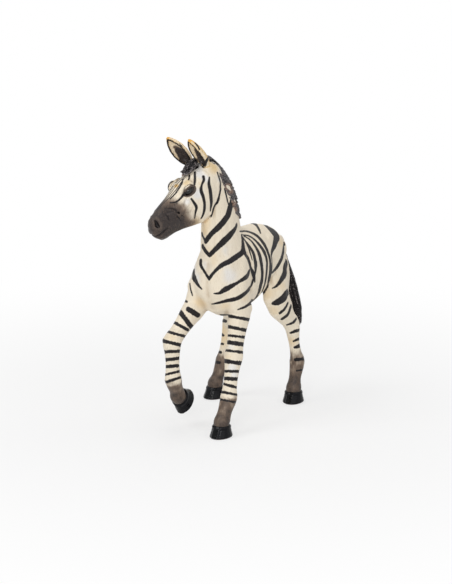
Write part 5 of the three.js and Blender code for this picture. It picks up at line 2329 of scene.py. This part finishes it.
@dataclass(frozen=True)
class Hoof:
    """A glossy hoof with a coronet band, faint growth rings and a hollow sole."""

    leg: Leg
    height: float = 3.9
    step: float = 0.11
    brush: float = 0.13
    broad: float = 0.3
    margin: float = 0.8
    rings: tuple[float, ...] = (-1.25, -2.0, -2.8)

    def build(self, material: bpy.types.Material) -> None:
        """Model the hoof.

        Args:
            material: The hooves' finish.
        """
        node = self.leg.part.value + "_hoof"
        clay = node_clay(node, self.step, self.brush, self.margin)
        centre, axes = vec(*self.leg.coronet), self.leg.hoof_axes

        def relief(points: np.ndarray) -> np.ndarray:
            """The wall's relief.

            Args:
                points: Rows of places.

            Returns:
                One height for each place.
            """
            x, y, z = ((points - centre) @ axes).T
            wall = (1 - blend_step(-0.35, -0.1, z)) * blend_step(-self.height + 0.1, -self.height + 0.4, z)
            height = 0.1 * np.exp(-(((z + 0.5) / 0.28) ** 2)) + 0.14 * blend_step(-1.5, -self.height + 0.3, z)
            for ring in self.rings:
                height -= 0.02 * np.exp(-(((z - ring + 0.06 * y) / 0.16) ** 2))
            toe = blend_step(-1.2, -2.6, y) * (1 - blend_step(0.9, 1.5, np.abs(x))) * blend_step(-0.4, -1.0, z)
            sole = 1 - blend_step(-self.height + 0.1, -self.height + 0.5, z)
            hollow = 0.22 * (1 - blend_step(1.6, 2.5, np.hypot(x, y - 0.2)))
            frog = 0.2 * (1 - blend_step(0.25, 0.6, np.abs(x) - 0.18 * (y + 1.0))) * blend_step(-1.0, -0.4, y)
            return wall * (height + 0.16 * toe) - sole * (hollow - frog)

        clay.displace(relief)
        mesh, spots = clay.mesh(node + "_shell")
        x, y, z = ((spots - centre) @ axes).T
        values = {
            "cavity": cavity(spots, clay, self.broad),
            # The toe facet, which the lacquer darkens as painted shade.
            "toe": blend_step(-1.4, -1.9, y) * (1 - blend_step(0.75, 1.05, np.abs(x))) * blend_step(-0.8, -1.1, z),
            # The bottom edge, which the lacquer paints reddish as painted light.
            "sole": 1 - blend_step(-self.height + 0.12, -self.height + 0.24, z),
        }
        finished(mesh, node + "_shell", [node], material, values)


@dataclass(frozen=True)
class Eye:
    """A glossy eye in its socket."""

    node: str
    swell: float
    step: float = 0.07
    brush: float = 0.1
    margin: float = 0.8

    def build(self, material: bpy.types.Material) -> None:
        """Model the eye.

        Args:
            material: The eyes' finish.
        """
        clay = node_clay(self.node, self.step, self.brush, self.margin)
        clay.field -= np.float32(self.swell)
        mesh, _ = clay.mesh(self.node + "_ball")
        finished(mesh, self.node + "_ball", [self.node], material, {})


EYE_SWELLS = {"left_eye": 0.2, "right_eye": -0.15}


# Hair


@dataclass
class Locks:
    """Guides for the locks of a tuft of hair.

    Attributes:
        roots: Where each lock begins.
        aims: From each root to its tip.
        bows: How far each tip bends away.
        girths: Each lock's half width.
    """

    roots: list[np.ndarray] = field(default_factory=list)
    aims: list[np.ndarray] = field(default_factory=list)
    bows: list[np.ndarray] = field(default_factory=list)
    girths: list[float] = field(default_factory=list)

    def add(self, root: np.ndarray, aim: np.ndarray, bow: np.ndarray, girth: float) -> None:
        """Add one guide.

        Args:
            root: Where its lock begins.
            aim: From there to its tip.
            bow: How far its tip bends away.
            girth: Its half width.
        """
        self.roots.append(root)
        self.aims.append(aim)
        self.bows.append(bow)
        self.girths.append(girth)

    def grown(self, name: str, seed: int) -> tuple[np.ndarray, np.ndarray]:
        """Grow a lock on each guide.

        Args:
            name: The tuft's name.
            seed: The number that fixes the ripples.

        Returns:
            The points and triangles of all the locks.
        """
        guide = bpy.data.meshes.new(name + "_guides")
        guide.from_pydata(np.array(self.roots).tolist(), [], [])
        for key, rows in (("aim", self.aims), ("bow", self.bows)):
            guide.attributes.new(key, "FLOAT_VECTOR", "POINT").data.foreach_set("vector", np.array(rows).ravel())
        guide.attributes.new("girth", "FLOAT", "POINT").data.foreach_set("value", np.array(self.girths))
        holder = bpy.data.objects.new(name + "_guides", guide)
        bpy.context.scene.collection.objects.link(holder)
        modifier = holder.modifiers.new("locks", "NODES")
        modifier.node_group = lock_tree()
        sockets = {item.name: item.identifier for item in modifier.node_group.interface.items_tree}
        modifier[sockets["Seed"]] = seed
        modifier[sockets["Ripple"]] = RIPPLE
        grown = bpy.data.meshes.new_from_object(holder.evaluated_get(bpy.context.evaluated_depsgraph_get()))
        holder.modifiers.remove(modifier)
        grown.calc_loop_triangles()
        points = mesh_points(grown)
        triangles = np.empty(len(grown.loop_triangles) * 3, dtype=np.int32)
        grown.loop_triangles.foreach_get("vertices", triangles)
        bpy.data.objects.remove(holder)
        bpy.data.meshes.remove(guide)
        bpy.data.meshes.remove(grown)
        return points.astype(np.float32), triangles.reshape(-1, 3).astype(np.uint32)


def lock_tree() -> bpy.types.GeometryNodeTree:
    """The nodes that grow a tapering, bent lock on each guide point.

    Returns:
        The node group.
    """
    tree = bpy.data.node_groups.get("hair_locks")
    if tree:
        return tree
    tree = bpy.data.node_groups.new("hair_locks", "GeometryNodeTree")
    for name, way, kind, default in LOCK_SOCKETS:
        socket = tree.interface.new_socket(name, in_out=way, socket_type="NodeSocket" + kind)
        if default is not None:
            socket.default_value = default
    g = Graph(tree)
    given = g.node("NodeGroupInput").outputs
    blank = g.node("GeometryNodeMeshCylinder", {
        "Vertices": given["Sides"], "Side Segments": given["Rings"], "Radius": 1.0, "Depth": 1.0
    }, fill_type="TRIANGLE_FAN")
    x, y, z = g.node("ShaderNodeSeparateXYZ", {0: g.node("GeometryNodeInputPosition").outputs[0]}).outputs
    along = g.math("ADD", z, 0.5)
    taper = g.math("POWER", g.math("SUBTRACT", LOCK_END, along), LOCK_TAPER)
    width = g.math("MULTIPLY", taper, g.math("MULTIPLY_ADD", along, *LOCK_SWELL))
    x, y = (g.math("MULTIPLY", value, width) for value in (x, y))
    shaped = g.node("ShaderNodeCombineXYZ", {0: x, 1: y, 2: along})
    moved = g.node("GeometryNodeSetPosition", {"Geometry": blank.outputs["Mesh"], "Position": shaped.outputs[0]})
    height = g.node("ShaderNodeSeparateXYZ", {0: g.node("GeometryNodeInputPosition").outputs[0]}).outputs[2]
    stored = g.node("GeometryNodeStoreNamedAttribute", {
        "Geometry": moved.outputs[0], "Name": "along", "Value": height
    }, data_type="FLOAT", domain="POINT")

    def named(name: str, kind: str) -> bpy.types.NodeSocket:
        """A guide's attribute."""
        return g.node("GeometryNodeInputNamedAttribute", {"Name": name}, data_type=kind).outputs["Attribute"]

    aim, girth = named("aim", "FLOAT_VECTOR"), named("girth", "FLOAT")
    heading = g.node("FunctionNodeAlignRotationToVector", {"Vector": aim}, axis="Z")
    size = g.node("ShaderNodeCombineXYZ", {0: girth, 1: girth, 2: g.vector("LENGTH", aim)})
    spread = g.node("GeometryNodeInstanceOnPoints", {
        "Points": given["Guides"], "Instance": stored.outputs[0], "Rotation": heading.outputs[0],
        "Scale": size.outputs[0],
    })
    real = g.node("GeometryNodeRealizeInstances", {0: spread.outputs[0]})
    share = named("along", "FLOAT")
    bend = g.vector("SCALE", named("bow", "FLOAT_VECTOR"), g.math("MULTIPLY", share, share))
    noise = g.node("ShaderNodeTexNoise", {"W": given["Seed"], "Scale": RIPPLE_SCALE}, noise_dimensions="4D")
    centred = g.vector("SUBTRACT", noise.outputs["Color"], (0.5, 0.5, 0.5))
    strength = g.math("MULTIPLY", share, g.math("MULTIPLY", given["Ripple"], 2.0))
    total = g.vector("ADD", bend, g.vector("SCALE", centred, strength))
    bent = g.node("GeometryNodeSetPosition", {"Geometry": real.outputs[0], "Offset": total})
    dressed = g.node("GeometryNodeSetMaterial", {"Geometry": bent.outputs[0], "Material": given["Finish"]})
    g.node("NodeGroupOutput", {"Locks": dressed.outputs[0]})
    return tree


LOCK_SOCKETS = (
    ("Guides", "INPUT", "Geometry", None),
    ("Sides", "INPUT", "Int", 7),
    ("Rings", "INPUT", "Int", 6),
    ("Ripple", "INPUT", "Float", 0.2),
    ("Seed", "INPUT", "Int", 1),
    ("Finish", "INPUT", "Material", None),
    ("Locks", "OUTPUT", "Geometry", None),
)
RIPPLE = 0.22
RIPPLE_SCALE = 0.55
LOCK_END = 1.03
LOCK_TAPER = 0.65
LOCK_SWELL = (0.7, 0.75)


@dataclass
class Tuft:
    """A piece of hair: a core with carved locks.

    Attributes:
        node: The node that it stands for.
        step: The grid step of its clay.
        margin: How far the locks may stand out of the node's box.
        thinned: How much of the core's skin the locks replace.
        seed: The number that fixes the locks' ripples.
        draws: The number that fixes the guides' random draws.
        brush: The width of the brush that smooths the core.
        broad: The same for the broad shape, which its strands stand out of.
        browns: Its dry-brushed brown patches.
    """

    node: str
    step: float = 0.14
    margin: float = 1.5
    thinned: float = 0.1
    seed: int = 1
    draws: int = 1
    brush: float = 0.16
    broad: float = 0.35
    browns: tuple[Spray, ...] = ()

    def guides(self) -> Locks:
        """The guides of the tuft's locks."""
        raise NotImplementedError

    def build(self, material: bpy.types.Material, camera: PhotoCamera) -> None:
        """Grow the locks on the core and dress the piece.

        Args:
            material: The hair's finish.
            camera: The camera that the brown patches' pixels belong to.
        """
        clay = node_clay(self.node, self.step, self.brush, self.margin)
        clay.field += np.float32(self.thinned)
        points, triangles = self.guides().grown(self.node, self.seed)
        high = clay.low + np.array(clay.field.shape) * clay.step
        locks = Clay.from_mesh(points, triangles, self.step, tuple(clay.low + 1e-6), tuple(high - 1e-6), self.step / 2)
        shape = np.minimum(clay.field.shape, locks.field.shape)
        common = tuple(slice(0, int(n)) for n in shape)
        clay.field[common] = np.minimum(clay.field[common], locks.field[common])
        clay.smooth(self.step * 0.6)
        mesh, spots = clay.mesh(self.node + "_locks")
        warm = np.zeros(len(spots))
        for brown in self.browns:
            gap = np.linalg.norm(camera.project(spots) - brown.pixel, axis=1) * camera.pixel_size
            warm = np.maximum(warm, brown.strength * np.exp(-((gap / brown.radius) ** 2)))
        finished(mesh, self.node + "_locks", [self.node], material,
                 {"cavity": cavity(spots, clay, self.broad), "warm": warm})


@dataclass
class Mane(Tuft):
    """The standing mane on the neck's crest, whose side locks lie on the neck up to its edge in the photograph.

    Attributes:
        rows: How many rows of locks stand along the crest.
        lag: How many rows further back a side lock ends than it begins.
        height: How deep under the crest's line a standing lock begins.
        sweep: How much further forward it begins.
        girths: The least and largest half width of a standing lock.
        side_girths: The same of a side lock.
        edge: The pixels of the mane's edge on the neck.
        painter: Casts those pixels on the neck.
        crest: The line of the standing locks' tips.
    """

    node: str = "mane"
    seed: int = 3
    draws: int = 4
    margin: float = 5.5
    rows: int = 46
    lag: int = 7
    height: float = 2.7
    sweep: float = 1.5
    girths: tuple[float, float] = (0.35, 0.6)
    side_girths: tuple[float, float] = (0.3, 0.5)
    thinned: float = 0.3
    edge: tuple[Pixel, ...] = (
        (208.5, 154.5), (211.0, 160.0), (214.2, 166.5), (218.0, 173.0), (221.6, 180.0), (224.6, 187.0), (227.8, 194.0),
        (231.4, 201.5), (234.4, 209.0), (236.0, 213.0),
    )
    painter: Optional[Painter] = None
    crest: tuple[Place, ...] = (
        (-1.2, 2.0, 88.1), (-1.1, 5.4, 86.8), (-1.0, 8.4, 84.5), (-0.8, 11.3, 82.2), (-0.7, 13.7, 79.7),
        (-0.6, 15.6, 76.7), (-0.5, 17.3, 73.8), (-0.4, 18.5, 70.4), (-0.2, 19.0, 67.7), (-0.1, 18.6, 64.1),
    )

    def guides(self) -> Locks:
        """Locks that stand up from the crest and sweep back."""
        draw = np.random.default_rng(self.draws)
        line, edge = smooth_line(np.array(self.crest), self.rows), smooth_line(np.array(self.edge), self.rows)
        tangents = np.gradient(line, axis=0)
        locks = Locks()
        for k, (tip, tangent) in enumerate(zip(line, tangents)):
            tangent = unit(tangent)
            out = unit(np.cross(vec(1, 0, 0), tangent))
            end = tip + out * draw.uniform(-1.3, -0.6) + tangent * draw.uniform(-0.4, 0.7)
            root = tip - out * self.height - tangent * self.sweep * min(1.0, 0.1 * k)
            locks.add(root, end - root, tangent * draw.uniform(0.0, 0.6), draw.uniform(*self.girths))
            near = self.painter.cast(tuple(edge[k] + draw.uniform(-0.7, 0.7, 2)))
            if near is None:
                continue
            for side, root in ((1, near), (-1, self.painter.across(near, False))):
                end = line[min(k + self.lag, self.rows - 1)] + vec(side * 0.7, 0, 0) + out * draw.uniform(-1.6, -0.7)
                middle = np.array(self.painter.surface.find_nearest(Vector((root + end) / 2))[0])
                middle += vec(side * 0.3, 0, 0) + tangent * draw.uniform(-0.2, 0.5)
                girth = draw.uniform(*self.side_girths)
                locks.add(root, middle + (middle - root) * 0.25 - root, vec(side * 0.15, 0, 0), girth)
                locks.add(middle, end - middle, vec(side * 0.1, 0, 0), girth)
        return locks


@dataclass
class Tail(Tuft):
    """The hanging tail with its brush.

    Attributes:
        rows: How many rings of locks hang down it.
        around: How many locks each ring has.
        points: How finely its spine is drawn.
        first: The point of the spine at which the first ring begins.
        spacing: How many points lie between the rings.
        reach: How many points a lock spans.
        sunk: How deep its root lies under the skin.
        lock_girths: The least and largest half width of a lock.
        spine: The tail's centre line.
        girths: Its radius at each place of the spine.
    """

    node: str = "tail"
    seed: int = 5
    draws: int = 9
    rows: int = 11
    around: int = 7
    points: int = 60
    first: int = 8
    spacing: float = 3.9
    reach: int = 14
    sunk: float = 0.35
    lock_girths: tuple[float, float] = (0.28, 0.52)
    spine: tuple[Place, ...] = (
        (0, 40.8, 52.6), (0.2, 46.0, 51.8), (1.0, 48.9, 45.0), (3.0, 51.0, 35.6), (4.8, 51.2, 29.0), (6.0, 50.4, 23.4)
    )
    girths: tuple[float, ...] = (1.2, 1.3, 1.6, 1.95, 1.75, 0.6)

    def guides(self) -> Locks:
        """Locks that hang down around the tail."""
        draw = np.random.default_rng(self.draws)
        line = smooth_line(np.array(self.spine), self.points)
        last = len(self.spine) - 1
        girths = np.interp(np.linspace(0, last, self.points), range(last + 1), self.girths)
        locks = Locks()
        for row in range(self.rows):
            start = int(self.first + row * self.spacing)
            stop = min(self.points - 1, start + self.reach)
            for k in range(self.around):
                angle = 2 * math.pi * (k + 0.5 * (row % 2)) / self.around + draw.uniform(-0.2, 0.2)
                side = vec(math.cos(angle), math.sin(angle), 0)
                root = line[start] + side * (girths[start] - self.sunk)
                tip = line[stop] + side * (girths[stop] + draw.uniform(-0.45, 0.3))
                locks.add(root, tip - root, side * draw.uniform(-0.2, 0.3), draw.uniform(*self.lock_girths))
        return locks


@dataclass
class Forelock(Tuft):
    """The tuft that hangs over the forehead, in the head's own frame.

    Attributes:
        sunk: How deep a lock's root lies under the tuft's skin.
        arch: How much the tuft falls off towards its sides.
        lengths: The least and largest length of a lock.
        girths: The least and largest half width of a lock.
        across: Where the columns of locks stand.
        rows: How far down the face, and how far out of it, the rows of locks stand.
    """

    node: str = "forelock"
    seed: int = 8
    draws: int = 2
    step: float = 0.11
    sunk: float = 0.6
    arch: float = 0.14
    lengths: tuple[float, float] = (2.2, 3.2)
    girths: tuple[float, float] = (0.36, 0.54)
    across: tuple[float, ...] = (-1.8, -1.1, -0.4, 0.3, 1.0, 1.7)
    rows: tuple[tuple[float, float], ...] = ((0.3, 1.6), (2.0, 2.4), (3.7, 2.9), (5.4, 3.2), (7.1, 3.3))

    def guides(self) -> Locks:
        """Locks that hang from the poll."""
        draw = np.random.default_rng(self.draws)
        locks = Locks()
        for k, side in enumerate(self.across):
            for start, out in self.rows:
                start += draw.uniform(-0.5, 0.5) + 0.4 * (k % 2)
                high = out - self.arch * side * side
                root = POSE.on_head(start, high - self.sunk, side * 0.85)
                tip = POSE.on_head(start + draw.uniform(*self.lengths), high + draw.uniform(-0.35, 0.25),
                                   side + draw.uniform(-0.5, 0.5))
                bow = POSE.head_axes @ vec(draw.uniform(-0.3, 0.3), 0, draw.uniform(-0.3, 0.2))
                locks.add(root, tip - root, bow, draw.uniform(*self.girths))
        return locks


MANE_BROWNS = (
    Spray((221.6, 174.5), 1.2, 0.5), Spray((228.2, 186.6), 1.3, 1.0), Spray((230.8, 191.6), 1.0, 1.0),
    Spray((233.2, 203.4), 1.2, 1.0), Spray((235.2, 209.0), 1.0, 0.9),
)
TUFT_BROWNS = (Spray((181.6, 176.8), 0.9, 1.0), Spray((190.6, 158.2), 0.7, 0.6))


def main() -> None:
    """Build the foal and the studio."""
    logging.basicConfig(level=logging.INFO, format="%(message)s")
    camera = PhotoCamera()
    camera.build()
    coat, hair = CoatPaint().build(), HairPaint().build()
    hoof, eye = HoofLacquer().build(), EyeLacquer().build()
    body, head = MouldedBody(), Head()
    clay, face = body.sculpt(), head.sculpt()
    painter = Painter(camera, clay.tree(), face.tree())
    painter.paint_all()
    painter.lines += head.fan(face)
    body.build(clay, painter, coat)
    head.build(face, painter, coat)
    for ear in EARS:
        ear.build(painter, coat)
    for leg in LEGS:
        Hoof(leg).build(hoof)
    for node, swell in EYE_SWELLS.items():
        Eye(node, swell).build(eye)
    for tuft in (Mane(browns=MANE_BROWNS, painter=painter), Tail(), Forelock(browns=TUFT_BROWNS)):
        tuft.build(hair, camera)
    studio()


LIGHTS = (
    ("key", (-0.35, -0.5, 0.8), 2.2, 0.4),
    ("fill", (0.8, -0.4, 0.5), 1.0, 0.7),
    ("top", (0.1, 0.2, 1.0), 3.0, 0.8),
    ("window", (0.27, -0.75, 0.36), 2.1, 0.27),
)
LIT_PLACE = (0, 0, 0.045)
WHITE = (1, 1, 1, 1)
WORLD_LIGHT = 0.32
TABLE_COLOUR = (0.9, 0.9, 0.9, 1)
TABLE_FADE = (0.03, 0.2)
TABLE_GLOW = 0.62
TABLE_HALF = 3.0


def studio() -> None:
    """The floor, the lights and the white background."""
    scene = bpy.context.scene
    scene.view_settings.view_transform = "Standard"
    world = bpy.data.worlds.new("studio")
    scene.world = world
    world.use_nodes = True
    g = Graph(world.node_tree)
    rays = g.node("ShaderNodeLightPath").outputs
    seen = g.math("MAXIMUM", rays["Is Camera Ray"],
                  g.math("MAXIMUM", rays["Is Glossy Ray"], rays["Is Transmission Ray"]))
    plain = g.node("ShaderNodeBackground", {"Color": WHITE, "Strength": WORLD_LIGHT})
    white = g.node("ShaderNodeBackground", {"Color": WHITE, "Strength": 1.0})
    mix = g.node("ShaderNodeMixShader", {0: seen, 1: plain.outputs[0], 2: white.outputs[0]})
    g.node("ShaderNodeOutputWorld", {"Surface": mix.outputs[0]})
    material = bpy.data.materials.new("white_table")
    material.use_nodes = True
    g = Graph(material.node_tree)
    rays = g.node("ShaderNodeLightPath").outputs
    diffuse = g.node("ShaderNodeBsdfDiffuse", {"Color": TABLE_COLOUR})
    glow = g.node("ShaderNodeEmission", {"Color": WHITE})
    away = g.vector("LENGTH", g.node("ShaderNodeTexCoord").outputs["Object"])
    glowing = g.math("MULTIPLY_ADD", g.step(away, *TABLE_FADE), 1 - TABLE_GLOW, TABLE_GLOW)
    share = g.math("MULTIPLY", g.math("MAXIMUM", rays["Is Camera Ray"], rays["Is Glossy Ray"]), glowing)
    mix = g.node("ShaderNodeMixShader", {0: share, 1: diffuse.outputs[0], 2: glow.outputs[0]})
    g.node("ShaderNodeOutputMaterial", {"Surface": mix.outputs[0]})
    mesh = bpy.data.meshes.new("table")
    corners = [(x * TABLE_HALF, y * TABLE_HALF, 0) for x, y in ((-1, -1), (1, -1), (1, 1), (-1, 1))]
    mesh.from_pydata(corners, [], [(0, 1, 2, 3)])
    mesh.materials.append(material)
    table = bpy.data.objects.new("table", mesh)
    scene.collection.objects.link(table)
    for name, place, energy, width in LIGHTS:
        light = bpy.data.lights.new(name, "AREA")
        light.energy = energy
        light.size = width
        lamp = bpy.data.objects.new(name, light)
        lamp.location = place
        aim = Vector(LIT_PLACE) - lamp.location
        lamp.rotation_euler = aim.to_track_quat("-Z", "Y").to_euler()
        scene.collection.objects.link(lamp)


if __name__ == "__main__":
    main()
